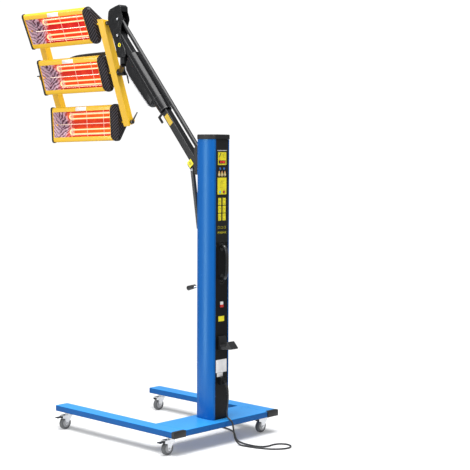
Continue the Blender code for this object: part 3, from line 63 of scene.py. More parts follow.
# Each heater head: its pivot, its axis to the back, and how far its face stands in front of the pivot
HEADS = {
    "top": ((0.017, 0.14726, 2.05979), (0.90618, 0.13653, 0.40025), 0.0285),
    "middle": ((0.106, 0.1541, 1.8124), (0.94453, 0.13956, 0.2973), 0.018),
    "bottom": ((0.19856, 0.16121, 1.55514), (0.98942, 0.13993, 0.03838), 0.034),
}
HEAD_ALONG = (-0.13914, 0.99001, -0.02269)
ARM_PIVOT, ARM_ALONG = (0.021, -0.5418, 1.316), (0, 0.65077, 0.75927)


def frame_at(place, across, along):
    """A frame with its axes across, along and up."""
    across, along = Vector(across).normalized(), Vector(along).normalized()
    turn = Matrix((across, along, across.cross(along))).transposed().to_4x4()
    return Matrix.Translation(Vector(place)) @ turn


HEAD = {label: frame_at(pivot, back, HEAD_ALONG) for label, (pivot, back, _) in HEADS.items()}
FACE = {label: -standoff for label, (_, _, standoff) in HEADS.items()}
ARM = frame_at(ARM_PIVOT, (1, 0, 0), ARM_ALONG)


# Mesh helpers

FULL_TURN = 2 * pi
HERE = Matrix()
SHARP = 0.6


def angles(count):
    return [FULL_TURN * k / count for k in range(count)]


def lofted(loops, ends=True, at=HERE):
    """A skin over loops of points, closed by a face at both ends or running round into itself."""
    bm = bmesh.new()
    rows = [[bm.verts.new(point) for point in loop] for loop in loops]
    for first, second in zip(rows, rows[1:] if ends else rows[1:] + rows[:1]):
        for i in range(len(first)):
            j = (i + 1) % len(first)
            bm.faces.new((first[i], first[j], second[j], second[i]))
    if ends:
        bm.faces.new(rows[0][::-1])
        bm.faces.new(rows[-1])
    bmesh.ops.recalc_face_normals(bm, faces=bm.faces[:])
    bm.transform(at)
    return bm


def soften(bm, edges, width):
    """Rounds edges off in two steps."""
    if width:
        bmesh.ops.bevel(bm, geom=edges, offset=width, segments=2, profile=0.5, affect="EDGES")


def rod(start, end, radius, far_radius=None, sides=24, soft=0.0, at=HERE):
    """A round bar or cone between two points, its end rims softened."""
    start, end = Vector(start), Vector(end)
    length = (end - start).length
    far = radius if far_radius is None else far_radius
    bm = bmesh.new()
    bmesh.ops.create_cone(bm, cap_ends=True, segments=sides, radius1=radius, radius2=far, depth=length)
    rims = [edge for edge in bm.edges if abs(edge.verts[0].co.z - edge.verts[1].co.z) < length / 2]
    soften(bm, rims, soft)
    turn = (end - start).to_track_quat("Z", "Y").to_matrix().to_4x4()
    bm.transform(at @ Matrix.Translation((start + end) / 2) @ turn)
    return bm


def on_axis(outline, depth, axis):
    """A flat outline's points at one depth along the x or y axis."""
    return [(depth, a, b) if axis == "x" else (a, depth, b) for a, b in outline]


def plate(outline, low, high, soft=0.0, axis="y", at=HERE):
    """A flat outline given thickness along one axis, its edges softened."""
    bm = lofted([on_axis(outline, low, axis), on_axis(outline, high, axis)])
    soften(bm, [edge for edge in bm.edges if edge.calc_face_angle(0) > SHARP], soft)
    bm.transform(at)
    return bm


def ring(outer, inner, low, high, axis="y", at=HERE):
    """A flat plate with a hole: outer and inner outlines have as many points."""
    loops = ((outer, low), (inner, low), (inner, high), (outer, high))
    return lofted([on_axis(outline, depth, axis) for outline, depth in loops], False, at)


def tube(points, radius, sides=10, at=HERE):
    """A round tube swept along points, with one radius for all of it or one for each point."""
    points = [Vector(point) for point in points]
    radii = radius if isinstance(radius, (list, tuple)) else [radius] * len(points)
    loops = []
    side = None
    for i, middle in enumerate(points):
        way = (points[min(i + 1, len(points) - 1)] - points[max(i - 1, 0)]).normalized()
        if side is None:
            side = way.orthogonal().normalized()
        side = (side - way * side.dot(way)).normalized()
        other = way.cross(side)
        loops.append([middle + (side * cos(a) + other * sin(a)) * radii[i] for a in angles(sides)])
    return lofted(loops, at=at)


def strip(line, start, end, cuts, at):
    """An open sheet: a line of (across, up) points drawn out along the middle axis."""
    bm = bmesh.new()
    rows = []
    for number in range(cuts + 1):
        along = start + (end - start) * number / cuts
        rows.append([bm.verts.new((across, along, up)) for across, up in line])
    for first, second in zip(rows, rows[1:]):
        for i in range(len(line) - 1):
            bm.faces.new((first[i], first[i + 1], second[i + 1], second[i]))
    bm.transform(at)
    return bm


def circle(centre, radius, count):
    return [(centre[0] + radius * cos(a), centre[1] + radius * sin(a)) for a in angles(count)]


def rectangle(low, high):
    return [(low[0], low[1]), (high[0], low[1]), (high[0], high[1]), (low[0], high[1])]


def rounded(low, high, corner, steps=5):
    """The outline of a rectangle with round corners."""
    found = []
    left, right, bottom, top = low[0] + corner, high[0] - corner, low[1] + corner, high[1] - corner
    for quarter, (x, z) in enumerate(((right, top), (left, top), (left, bottom), (right, bottom))):
        for k in range(steps + 1):
            a = pi / 2 * (quarter + k / steps)
            found.append((x + corner * cos(a), z + corner * sin(a)))
    return found


def resampled(outline, count, centre):
    """Points where rays from the centre meet the outline, evenly round."""
    found = []
    for a in angles(count):
        way = Vector((cos(a), sin(a)))
        best = None
        for p, q in zip(outline, outline[1:] + outline[:1]):
            p, q = Vector(p) - Vector(centre), Vector(q) - Vector(centre)
            edge = q - p
            det = way.x * -edge.y + edge.x * way.y
            if abs(det) < 1e-12:
                continue
            far = (p.x * -edge.y + edge.x * p.y) / det
            share = (way.x * p.y - way.y * p.x) / det
            if far > 0 and -1e-6 <= share <= 1 + 1e-6 and (best is None or far > best):
                best = far
        found.append((centre[0] + way.x * best, centre[1] + way.y * best))
    return found


def mesh_of(name, bm):
    mesh = bpy.data.meshes.new(name)
    bm.to_mesh(mesh)
    bm.free()
    return mesh


def filled(thing, **settings):
    """The thing with its settings filled in."""
    for key, value in settings.items():
        setattr(thing, key, value)
    return thing


def linked(name, data, **settings):
    """A new object in the scene."""
    obj = bpy.data.objects.new(name, data)
    scene.collection.objects.link(obj)
    return filled(obj, **settings)


def joined(parts):
    """Several bmeshes as one."""
    whole = bmesh.new()
    for bm in parts:
        mesh = mesh_of("part", bm)
        whole.from_mesh(mesh)
        bpy.data.meshes.remove(mesh)
    return whole


def piece(name, bm, body, finish, replaced=(), crease=SHARP):
    """The finished object, riding on its body."""
    for face in bm.faces:
        face.smooth = True
    for edge in bm.edges:
        edge.smooth = edge.calc_face_angle(0) < crease
    mesh = mesh_of(name, bm)
    obj = linked(name, mesh)
    mesh.materials.append(finish.material)
    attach(obj, body)
    if replaced:
        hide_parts(*replaced)
    return obj


def fixed(name, parts, finish):
    """A piece of several parts that rides on the base."""
    return piece(name, joined(parts), "base", finish)


# Materials; colours are red, green and blue from 0 to 1

class Value:
    """A number, colour or vector inside a material's nodes; arithmetic on it adds maths nodes."""

    def __init__(self, finish, socket):
        self.finish = finish
        self.socket = socket

    def maths(self, operation, *others):
        return self.finish.node("ShaderNodeMath", [self, *others], operation=operation)

    def __add__(self, other):
        return self.maths("ADD", other)

    __radd__ = __add__

    def __sub__(self, other):
        return self.maths("SUBTRACT", other)

    def __rsub__(self, other):
        return (self * -1) + other

    def __mul__(self, other):
        return self.maths("MULTIPLY", other)

    def __lt__(self, other):
        return self.maths("LESS_THAN", other)

    def __gt__(self, other):
        return self.maths("GREATER_THAN", other)

    def near(self, middle, reach):
        """1 at the middle, falling to 0 at the reach."""
        return self.finish.clamp(1 - (self - middle).maths("ABSOLUTE") * (1 / reach))

    def wave(self, period):
        """Goes between 0 and 1 once in each period."""
        return (self * (FULL_TURN / period)).maths("SINE") * 0.5 + 0.5

    def mix(self, first, second):
        """The first colour where this is 0, the second where it is 1."""
        return self.finish.node("ShaderNodeMix", {0: self, 6: first, 7: second}, 2, data_type="RGBA")


class Finish:
    """A Principled material; plain numbers are set on the shader, varying ones are linked."""

    def __init__(self, name, colour, roughness, metallic=0.0, coat=0.0, specular=0.5):
        self.material = bpy.data.materials.new(name)
        self.material.use_nodes = True
        self.tree = self.material.node_tree
        self.shader = self.tree.nodes["Principled BSDF"]
        self.place = self.node("ShaderNodeTexCoord", out="Object")
        self.colour(colour)
        self.put("Roughness", roughness)
        self.put("Metallic", metallic)
        self.put("Coat Weight", coat)
        self.put("Coat Roughness", 0.08)
        self.shine(specular)

    def feed(self, socket, value):
        if isinstance(value, Value):
            self.tree.links.new(value.socket, socket)
        else:
            socket.default_value = (*value, 1.0) if socket.type == "RGBA" else value

    def node(self, kind, inputs=(), out=0, **settings):
        made = filled(self.tree.nodes.new(kind), **settings)
        rows = inputs.items() if isinstance(inputs, dict) else enumerate(inputs)
        for key, value in rows:
            self.feed(made.inputs[key], value)
        return Value(self, made.outputs[out])

    def put(self, name, value):
        self.feed(self.shader.inputs[name], value)

    def colour(self, value):
        self.put("Base Color", value)

    def shine(self, value):
        self.put("Specular IOR Level", value)

    def glow(self, colour, strength):
        self.put("Emission Color", colour)
        self.put("Emission Strength", strength)

    def clamp(self, value):
        return self.node("ShaderNodeClamp", [value, 0.0, 1.0])

    def noise(self, scale, detail=3.0):
        """Soft noise from 0 to 1, with the scale in waves to the metre."""
        return self.node("ShaderNodeTexNoise", {"Vector": self.place, "Scale": scale, "Detail": detail})

    def along(self, place, way):
        """How far a point lies from a place in one direction."""
        moved = self.node("ShaderNodeVectorMath", [self.place, tuple(place)], operation="SUBTRACT")
        return self.node("ShaderNodeVectorMath", [moved, tuple(way)], "Value", operation="DOT_PRODUCT")

    def in_frame(self, turn, number):
        """How far a point lies across (0), along (1) or up (2) in a frame."""
        return self.along(turn.translation, turn.col[number].xyz)

    def axis(self, name):
        return self.node("ShaderNodeSeparateXYZ", [self.place], name)

    def bump(self, height, strength, depth):
        values = {"Height": height, "Strength": strength, "Distance": depth}
        self.put("Normal", self.node("ShaderNodeBump", values))


def shade(colour, share):
    return tuple(part * share for part in colour)


def painted(name, colour, roughness=0.3, coat=0.5, wear=0.5, sheen=None, peel=0.06):
    """Stoved paint: fine orange peel, faint cloudiness, and light scuffs."""
    made = Finish(name, colour, roughness, coat=coat)
    cloud = made.noise(9.0, 4.0)
    scuff = made.clamp((made.noise(60.0, 8.0) - 0.62) * 9.0) * wear
    if sheen:
        made.put("Specular Tint", sheen)
    made.colour((scuff * 0.25).mix(cloud.mix(shade(colour, 0.92), shade(colour, 1.06)), shade(colour, 1.35)))
    made.put("Roughness", made.clamp(roughness + (cloud - 0.5) * 0.08 + scuff * 0.12))
    made.bump(made.noise(420.0, 2.0), peel, 0.0004)
    return made


def moulded(name, colour, roughness=0.48, grain=1400.0, depth=0.1, coat=0.0):
    """Moulded plastic: spark-eroded grain, faint flow shading, small rub marks."""
    made = Finish(name, colour, roughness, coat=coat)
    cloud = made.noise(22.0, 4.0)
    rub = made.clamp((made.noise(85.0, 9.0) - 0.6) * 7.0)
    made.colour((rub * 0.35).mix(cloud.mix(shade(colour, 0.8), shade(colour, 1.25)), shade(colour, 2.0)))
    made.put("Roughness", made.clamp(roughness + (cloud - 0.5) * 0.12 - rub * 0.06))
    made.bump(made.noise(grain, 2.0), depth, 0.0005)
    return made


def sleek(name, colour, roughness, coat=0.0):
    """Smooth plastic or printed film, with hardly any grain."""
    return moulded(name, colour, roughness, 500.0, 0.02, coat)


def metal(name, colour, roughness):
    """Plated metal: cloudy plating with small dull spots."""
    made = Finish(name, colour, roughness, metallic=1.0)
    cloud = made.noise(130.0, 4.0)
    spot = made.clamp((made.noise(140.0, 6.0) - 0.6) * 8.0) * 0.4
    made.colour(spot.mix(cloud.mix(shade(colour, 0.84), shade(colour, 1.1)), shade(colour, 0.5)))
    made.put("Roughness", made.clamp(roughness + (cloud - 0.5) * 0.22 + spot * 0.3))
    made.bump(cloud, 0.08, 0.0003)
    return made


# Finishes

BLUE = (0.0022, 0.108, 0.42)
BLUE_SHEEN = (0.35, 0.9, 1.0)
BLACK = (0.0085, 0.0088, 0.0095)
FLUTES, FLUTE_REACH, FLUTED_DEPTH = (0.0456, 0.0491), 0.0011, 0.004
# The back groove, painted dark as the shade of the rounded back edge: its inset from the back and its half
# width
BACK_SHADED_GROOVE, BACK_SHADED_GROOVE_REACH = 0.016, 0.0035
BASE_TOP, BASE_UNDERSIDE = 0.1128, 0.0868
HUB_RADIUS, HUB_GROOVE = 0.0205, 0.0208
GRIP_LENGTH, LEVER_ROOT = 0.05, 0.013
COVER_RIMS = ((0.3755, 0.0022), (0.45, 0.0012))
STRUT_BRIGHT_ABOVE = 1.305
CAP_FACE_DEPTH, CAP_OUTER_END = 0.0025, 0.064
EDGE_RISE = 900.0


def column_paint():
    """The extrusion: blue with fine flutes down the strips beside the panel and at the back edge, painted
    dark as shade in them; the band at the back also stands in for the shade of the rounded back edge.
    """
    made = painted("blue_column", BLUE, 0.24, 0.0, 0.25, BLUE_SHEEN)
    x, y = made.axis("X"), made.axis("Y")
    off = (x - COLUMN_MIDDLE).maths("ABSOLUTE")
    flute = off.near(FLUTES[0], FLUTE_REACH) + off.near(FLUTES[1], FLUTE_REACH)
    flute = made.clamp(flute * (y < COLUMN_LOW.y + FLUTED_DEPTH))
    groove = made.clamp(flute + y.near(COLUMN_HIGH.y - BACK_SHADED_GROOVE, BACK_SHADED_GROOVE_REACH))
    base = made.noise(9.0, 4.0).mix(shade(BLUE, 0.94), shade(BLUE, 1.05))
    # Painted shade: the flutes and the back groove are painted dark, as shade in the grooves and along the
    # back edge
    made.colour((groove * 0.75).mix(base, shade(BLUE, 0.28)))
    made.bump(made.noise(420.0, 2.0) * 0.05 - groove, 0.5, 0.0012)
    return made


def base_paint():
    """The base's blue with light and shade painted on: a paler painted-lit top, darker sides painted as
    shade, and a dark grey underside painted as shade.
    """
    made = painted("blue_paint_fine", BLUE, 0.3, 0.0, 0.4, BLUE_SHEEN)
    z = made.axis("Z")
    # Painted light and shade: the top face is painted lighter as if lit from above, and the underside is
    # painted dark grey as shade
    top = made.clamp((z - BASE_TOP) * EDGE_RISE)
    under = made.clamp((BASE_UNDERSIDE - z) * EDGE_RISE)
    cloud = made.noise(8.0, 4.0)
    # The sides are painted darker as shade, and the top is painted a paler cyan as the light falling on it
    side = cloud.mix(shade(BLUE, 0.7), shade(BLUE, 0.8))
    painted_lit_crown = cloud.mix((0.026, 0.285, 0.74), (0.044, 0.345, 0.8))
    made.shine(0.25)
    made.colour(under.mix(top.mix(side, painted_lit_crown), (0.05, 0.05, 0.052)))
    return made


def wheel_finish(name, centre):
    """Grey tread on a lighter moulded hub, told apart by the distance from the axle."""
    made = Finish(name, (0.115, 0.118, 0.122), 0.6)
    across, up = made.along(centre, (1, 0, 0)), made.along(centre, (0, 0, 1))
    far = (across * across + up * up).maths("SQRT")
    tread = made.clamp((far - HUB_RADIUS) * EDGE_RISE)
    groove = far.near(HUB_GROOVE, 0.0014)
    cloud = made.noise(70.0, 5.0)
    hub = cloud.mix((0.3, 0.3, 0.31), (0.42, 0.42, 0.43))
    tyre = cloud.mix((0.085, 0.088, 0.092), (0.14, 0.145, 0.15))
    made.colour((groove * 0.8).mix(tread.mix(hub, tyre), (0.03, 0.03, 0.03)))
    made.put("Roughness", made.clamp(tread * 0.3 + cloud * 0.2 + 0.3))
    made.bump(made.noise(500.0) * 0.3 - groove, 0.4, 0.0008)
    return made


def lever_finish():
    """A steel rod with a black rubber grip on its outer end."""
    made = metal("lever_steel", (0.62, 0.63, 0.64), 0.25)
    low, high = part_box("back_lever")
    y = made.axis("Y")
    grip = y > (high.y - GRIP_LENGTH)
    dark = made.clamp(grip + (y < (low.y + LEVER_ROOT)))
    steel = made.noise(120.0, 4.0).mix((0.5, 0.51, 0.52), (0.68, 0.69, 0.7))
    made.colour(dark.mix(steel, (0.02, 0.02, 0.021)))
    made.put("Metallic", 1 - dark)
    made.put("Roughness", dark * 0.3 + 0.24)
    made.bump(y.wave(0.0035) * grip, 0.35, 0.0005)
    return made


def rocker_finish():
    """White upper half, red lower half."""
    made = sleek("rocker_caps", (0.6, 0.03, 0.02), 0.28, 0.3)
    low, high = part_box("rocker_switch")
    upper = made.axis("Z") > (low.z + high.z) / 2
    red = made.noise(80.0).mix((0.55, 0.02, 0.015), (0.72, 0.04, 0.03))
    made.colour(upper.mix(red, (0.8, 0.8, 0.78)))
    return made


def cover_finish():
    """The sleeve on the arm: satin moulding with two paler rims across it."""
    made = moulded("cover_plastic", (0.009, 0.009, 0.0095), 0.26, 800.0, 0.01)
    made.shine(0.28)
    along = made.in_frame(ARM, 1)
    rim = along.near(*COVER_RIMS[0]) + along.near(*COVER_RIMS[1])
    base = made.noise(30.0, 4.0).mix((0.007, 0.007, 0.0075), (0.013, 0.013, 0.014))
    made.colour(made.clamp(rim).mix(base, (0.06, 0.06, 0.062)))
    made.bump(made.noise(800.0) * 0.02 + rim, 0.25, 0.0006)
    return made


def cap_finish(label):
    """End cap with fine slanting ribs on its face and its outer end; the ribs are in relief, and their paler
    crests and dark troughs are painted light and shade.
    """
    made = moulded(label + "_cap_plastic", (0.017, 0.0165, 0.018), 0.36, 900.0, 0.03)
    across, along, up = (made.in_frame(HEAD[label], number) for number in range(3))
    slant = (along * 0.62 + up * 0.78).wave(0.0125).maths("POWER", 2.0)
    front = across < (CAP_FACE_DEPTH + FACE[label])
    outer = (along < CAP_OUTER_END) * (across * 0.82 + up * 0.57).wave(0.0125).maths("POWER", 2.0)
    rib_relief_and_shade = slant * front + outer
    # Painted light and shade: rib crests are painted paler and troughs darker
    made.colour(made.clamp(rib_relief_and_shade).mix((0.003, 0.0028, 0.0032), (0.075, 0.062, 0.07)))
    made.shine(0.22)
    made.bump(rib_relief_and_shade, 0.9, 0.0016)
    return made


def casting_finish():
    """Cast aluminium under thick black paint: broad soft waves and a fine grain."""
    made = painted("cast_black", (0.0055, 0.0055, 0.006), 0.25, 0.1, 0.0)
    made.bump(made.noise(26.0, 1.0) + made.noise(300.0, 3.0) * 0.002, 0.35, 0.006)
    made.shine(0.35)
    return made


def strut_finish():
    """The gas strut's tube: black, and bright steel at its upper end."""
    made = painted("strut_black", (0.035, 0.036, 0.038), 0.22, 0.6, 1.0)
    top = made.axis("Z") > STRUT_BRIGHT_ABOVE
    dark = made.noise(60.0, 5.0).mix((0.028, 0.029, 0.03), (0.05, 0.052, 0.055))
    made.colour(top.mix(dark, (0.42, 0.43, 0.44)))
    made.put("Metallic", top * 0.9)
    return made


def reflector_finish(label):
    """Polished trough with the lamps' light painted on: a glowing fiery colour where the lamps light it,
    brightest along the tubes, with painted shade at its upper and lower parts; at the dark end bright stucco
    metal with painted reflections, glowing faintly.
    """
    made = Finish(label + "_reflector", (0.8, 0.2, 0.08), 0.3, specular=0.15)
    along, up = made.in_frame(HEAD[label], 1), made.in_frame(HEAD[label], 2)
    cloud = made.noise(26.0, 4.0)
    fine = made.noise(150.0, 5.0)
    # Painted lamp light: brighter along the two rows of tubes
    painted_tube_glow = up.near(0.044, 0.03) + up.near(-0.04, 0.03)
    painted_tube_glow = made.clamp(painted_tube_glow * 0.8 + (cloud - 0.5) * 0.9)
    glow_share = LAMP_GLOW_SHARES[label]
    painted_lamp_light = painted_tube_glow.mix((0.5, 0.008 + 0.026 * glow_share, 0.012), (0.86, 0.075 + 0.065 * glow_share, 0.014))
    # Painted shade on the trough's upper and lower parts
    edge = made.clamp((up.maths("ABSOLUTE") - 0.06) * 40.0)
    painted_lamp_light = edge.mix(painted_lamp_light, (0.3, 0.008, 0.025))
    # At the dark end, painted reflections: pale metal with dark slanting marks and reddish blotches
    warp = made.noise(22.0, 2.0) * 0.055
    hatch = (up + along * 0.8 + warp).wave(0.024)
    cross = (up - along * 0.9 + warp).wave(0.033)
    mark = made.clamp((hatch * 0.75 + cross * 0.35 - 0.52) * 7.0)
    blush = made.clamp((fine - 0.5) * 5.0)
    painted_reflection = (blush * 0.8).mix((0.74, 0.58, 0.66), (0.56, 0.07, 0.13))
    painted_reflection = (mark * 0.85).mix(painted_reflection, (0.075, 0.01, 0.035))
    lit = made.clamp((LIT_END - along + (cloud - 0.5) * 0.05 + up * 0.1) * 24.0)
    made.colour(lit.mix(painted_reflection, painted_lamp_light))
    made.put("Metallic", (1 - lit) * 0.1)
    made.put("Roughness", lit * 0.25 + 0.22)
    # The trough glows though it is no lamp: painted lamp light where lit, a faint painted reflection at the
    # dark end
    made.glow(lit.mix(mark.mix((0.34, 0.22, 0.28), (0.02, 0.004, 0.01)), painted_lamp_light), 0.5)
    made.bump(hatch + fine * 0.4, 0.5, 0.0012)
    return made


def far_end_finish(label):
    """The trough's far wall: bright metal with a faint painted glow, and dark slanting marks that are
    painted reflections.
    """
    made = metal(label + "_end_metal", (0.72, 0.7, 0.74), 0.3)
    across, up = made.in_frame(HEAD[label], 0), made.in_frame(HEAD[label], 2)
    hatch = (up + across + made.noise(30.0, 2.0) * 0.04).wave(0.022)
    mark = made.clamp((hatch * 0.8 + made.noise(60.0, 3.0) * 0.4 - 0.66) * 7.0)
    # The wall glows though it is no lamp: painted light
    made.glow((0.5, 0.45, 0.52), 0.22)
    made.colour((mark * 0.8).mix((0.82, 0.74, 0.84), (0.1, 0.03, 0.07)))
    made.put("Metallic", 0.3)
    made.bump(hatch, 0.6, 0.0012)
    return made


def plug_finish(start, way):
    """Black moulded body, ribbed where the cord goes in, with bright pins at its far end."""
    made = moulded("plug_mould", (0.015, 0.015, 0.016), 0.4, 700.0, 0.1, 0.2)
    out = made.along(start, way)
    pin = out > PLUG_BODY_LENGTH
    body = made.noise(90.0).mix((0.01, 0.01, 0.011), (0.024, 0.024, 0.026))
    made.colour(pin.mix(body, (0.65, 0.63, 0.58)))
    made.put("Metallic", pin * 1.0)
    made.bump(out.wave(0.005) * (out < PLUG_RIBBED_LENGTH), 0.6, 0.001)
    return made


paint_blue = base_paint()
paint_column = column_paint()
paint_yellow = painted("yellow_paint_fine", (0.97, 0.56, 0.012), 0.34, 0.35)
paint_black = painted("black_paint_fine", BLACK, 0.3, 0.0, 0.0, peel=0.01)
paint_black.shine(0.3)
cast_black = casting_finish()
tube_black = strut_finish()
plastic_black = moulded("black_plastic_fine", BLACK)
plastic_gloss = moulded("black_plastic_gloss", (0.013, 0.013, 0.014), 0.22, 700.0, 0.04, 0.3)
cover_black = cover_finish()
panel_film = moulded("panel_film", (0.0115, 0.012, 0.0115), 0.42, 900.0, 0.07)
panel_film.shine(0.3)
lower_film = moulded("lower_panel_film", (0.0065, 0.0065, 0.007), 0.46, 900.0, 0.05)
lower_film.shine(0.18)
zinc_plate = metal("zinc_plate", (0.66, 0.67, 0.69), 0.3)
steel_bright = metal("steel_bright", (0.64, 0.65, 0.66), 0.2)
steel_dark = metal("screw_black", (0.05, 0.05, 0.055), 0.34)
# The guard wires glow though they are no lamp: painted lamp light on them
lamp_lit_guard_wire = metal("guard_wire_painted_glow", (0.85, 0.8, 0.74), 0.25)
lamp_lit_guard_wire.glow((1.0, 0.66, 0.46), 0.62)
ceramic = moulded("socket_ceramic", (0.75, 0.66, 0.58), 0.5, 600.0, 0.05)
rubber_grip = moulded("rubber_grip", (0.018, 0.018, 0.019), 0.6, 500.0, 0.2)
# A pale grey strip on the sleeve stands in for the highlight along its edge
highlight_strip_grey = moulded("cover_highlight_strip_grey", (0.62, 0.62, 0.64), 0.35, 600.0, 0.02)
label_yellow = sleek("label_yellow", (0.93, 0.8, 0.02), 0.35)
label_amber = sleek("label_amber", (0.62, 0.42, 0.03), 0.35)
label_white = sleek("label_white", (0.9, 0.88, 0.88), 0.4)
# The stickers glow faintly though they are no lamp: painted light
glowing_sticker_white = sleek("glowing_sticker_white", (0.94, 0.91, 0.91), 0.45)
glowing_sticker_white.glow((0.9, 0.8, 0.8), 0.22)
ink_black = sleek("ink_black", (0.03, 0.028, 0.02), 0.4)
tag_yellow = sleek("tag_yellow", (0.8, 0.62, 0.22), 0.3, 0.3)
button_blue = sleek("button_blue", (0.035, 0.16, 0.5), 0.25, 0.4)
button_cream = sleek("button_cream", (0.78, 0.66, 0.5), 0.28, 0.4)
button_teal = sleek("button_teal", (0.2, 0.62, 0.58), 0.25, 0.4)
button_red = sleek("button_red", (0.5, 0.035, 0.045), 0.25, 0.4)
lamp_glow = Finish("quartz_glow", (0.9, 0.35, 0.1), 0.12, coat=0.3)
lamp_glow.glow(lamp_glow.noise(40.0).mix((1.0, 0.6, 0.3), (1.0, 0.78, 0.52)), 1.02)
lamp_red = Finish("indicator_red", (0.65, 0.03, 0.02), 0.2, coat=0.5)
lamp_red.colour(lamp_red.noise(300.0).mix((0.5, 0.02, 0.015), (0.75, 0.05, 0.03)))
lamp_red.glow((1.0, 0.05, 0.03), 0.25)
digit_red = Finish("digit_red", (0.7, 0.02, 0.01), 0.3)
digit_red.glow(digit_red.noise(600.0).mix((1.0, 0.03, 0.015), (1.0, 0.06, 0.02)), 1.6)
display_window = Finish("display_window", (0.05, 0.004, 0.004), 0.1, coat=0.6)
display_window.colour(display_window.noise(60.0).mix((0.04, 0.003, 0.003), (0.085, 0.006, 0.006)))
cord_jacket = moulded("cord_jacket", (0.013, 0.013, 0.014), 0.38, 900.0, 0.1, 0.2)
cord_jacket.colour(cord_jacket.noise(60.0, 5.0).mix((0.009, 0.009, 0.01), (0.022, 0.022, 0.024)))


# CAD nodes that are shown: names, finish, and how far and in how many steps their edges are softened

DRESSED = (
    ("left_leg right_leg crossbar", paint_blue, 0.0018),
    ("column", paint_column, 0.0008),
    ("column_cap", plastic_black, 0.0007),
    ("control_panel", panel_film, 0.0004),
    ("lower_panel", lower_film, 0.0005),
    ("grab_handle", plastic_gloss),
    ("cord_hook", plastic_black, 0.0012),
    ("pivot_bracket", paint_black, 0.0006),
    ("strut_foot link_rod", paint_black, 0.0005),
    ("strut_rod", steel_bright),
    ("strut_cylinder", tube_black, 0.0006),
    # The plug's edges are softened here and once more by cord(), which gives it its own finish
    ("mains_plug", plastic_gloss, 0.0008),
    ("back_lever", lever_finish()),
    ("main_arm", paint_black, 0.0012),
    ("arm_cover", cover_black, 0.0008),
    ("head_casting", cast_black, 0.0022, 3),
    ("head_arm", paint_black, 0.001),
    ("near_bar far_bar", paint_yellow, 0.0016),
    ("top_cross_tube bottom_cross_tube", paint_yellow),
    ("bow_handle", plastic_black),
    ("top_clamp bottom_clamp tilt_clamp", plastic_gloss, 0.0004),
    ("plus_button minus_button", button_blue, 0.0007, 3),
    ("start_button", button_teal, 0.0007, 3),
    ("stop_button", button_red, 0.0007, 3),
    ("mode_button_left mode_button_middle mode_button_right", button_cream, 0.0007, 3),
    ("rocker_switch", rocker_finish(), 0.0008),
    ("front_left_fork front_right_fork rear_left_fork rear_right_fork", zinc_plate, 0.0004),
    ("front_left_brake_pedal rear_left_brake_pedal", steel_dark, 0.0005),
    ("top_housing middle_housing bottom_housing", paint_yellow, 0.0006),
    ("top_far_cap middle_far_cap bottom_far_cap", plastic_black, 0.001),
)


def dress(name, finish, soft=0.0, steps=2):
    """A CAD node keeps its shape; it gets its material and softly lit edges."""
    obj = NODES[name]
    mesh = obj.data
    mesh.materials.clear()
    mesh.materials.append(finish.material)
    if "custom_normal" in mesh.attributes:
        mesh.attributes.remove(mesh.attributes["custom_normal"])
    mesh.polygons.foreach_set("use_smooth", [True] * len(mesh.polygons))
    new = obj.modifiers.new
    filled(new("weld", "WELD"), merge_threshold=2e-6)
    filled(new("flat", "DECIMATE"), decimate_type="DISSOLVE", angle_limit=radians(0.6))
    if soft:
        edge = filled(new("edge", "BEVEL"), width=soft, segments=steps)
        filled(edge, limit_method="ANGLE", angle_limit=radians(36))
    filled(new("even", "WEIGHTED_NORMAL"), weight=60)


for names, *look in DRESSED:
    for name in names.split():
        dress(name, *look)
for corner in CORNERS:
    wheel = corner + "_wheel"
    dress(wheel, wheel_finish(wheel + "_rubber", sum(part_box(wheel), Vector()) / 2), 0.0006)


# Heater heads; outlines are pairs of depth behind the face and height above the middle

# How strongly each head's trough is painted with its lamps' light
LAMP_GLOW_SHARES = {"top": 0.1, "middle": 0.6, "bottom": 1.0}
LIT_END = 0.495
REFLECTOR = (
    (0.0076, 0.082), (0.0105, 0.0893), (0.016, 0.0921), (0.0252, 0.0921), (0.0613, 0.0276), (0.0725, 0.0098),
)
INSIDE_START, INSIDE_END = 0.1236, 0.5404
LAMP_DEPTH, LAMP_START, LAMP_END = 0.022, 0.1275, 0.4363
LAMP_ROWS, LEG_APART, BEND_GAP, GLOW_RADIUS = (0.042, -0.042), 0.024, 0.0055, 0.0038
HOLDER_START, HOLDER_THICK, HOLDER_HOLE = LAMP_END - 0.03, 0.0035, 0.0056
GUARD_CROSSWISE, GUARD_STEP = (0.167, 0.288, 0.405), 0.008
GUARD_DEPTH, GUARD_END_DEPTHS = 0.0035, {10: 0.016, 9: 0.008}
GUARD_LENGTHWISE = (
    (0.0, 0.126, 0.486, 0.0021), (0.059, 0.126, 0.42, 0.001), (-0.059, 0.126, 0.42, 0.001),
)
STICKER = ((0.00265, 0.0712), (0.00265, 0.0842), (0.00585, 0.09214))
CAP_OUTLINE = (
    (0.0, 0.0875), (0.0036, 0.0959), (0.012, 0.0995), (0.024, 0.0995), (0.068, 0.032), (0.08, 0.013),
)
CAP_HALF_HEIGHT, CAP_MIDDLE = 0.0995, 0.04
CAP_START, CAP_END, CAP_ROUND = 0.0622, 0.1197, 0.026
CAP_CUTS = (0.0, 0.0006, 0.0018, 0.004, 0.0075, 0.0125, 0.019, CAP_ROUND)


def both_halves(outline, face):
    """The closed outline made of an upper half and its mirror image below."""
    upper = [(face + depth, high) for depth, high in outline]
    return upper + [(depth, -high) for depth, high in reversed(upper)]


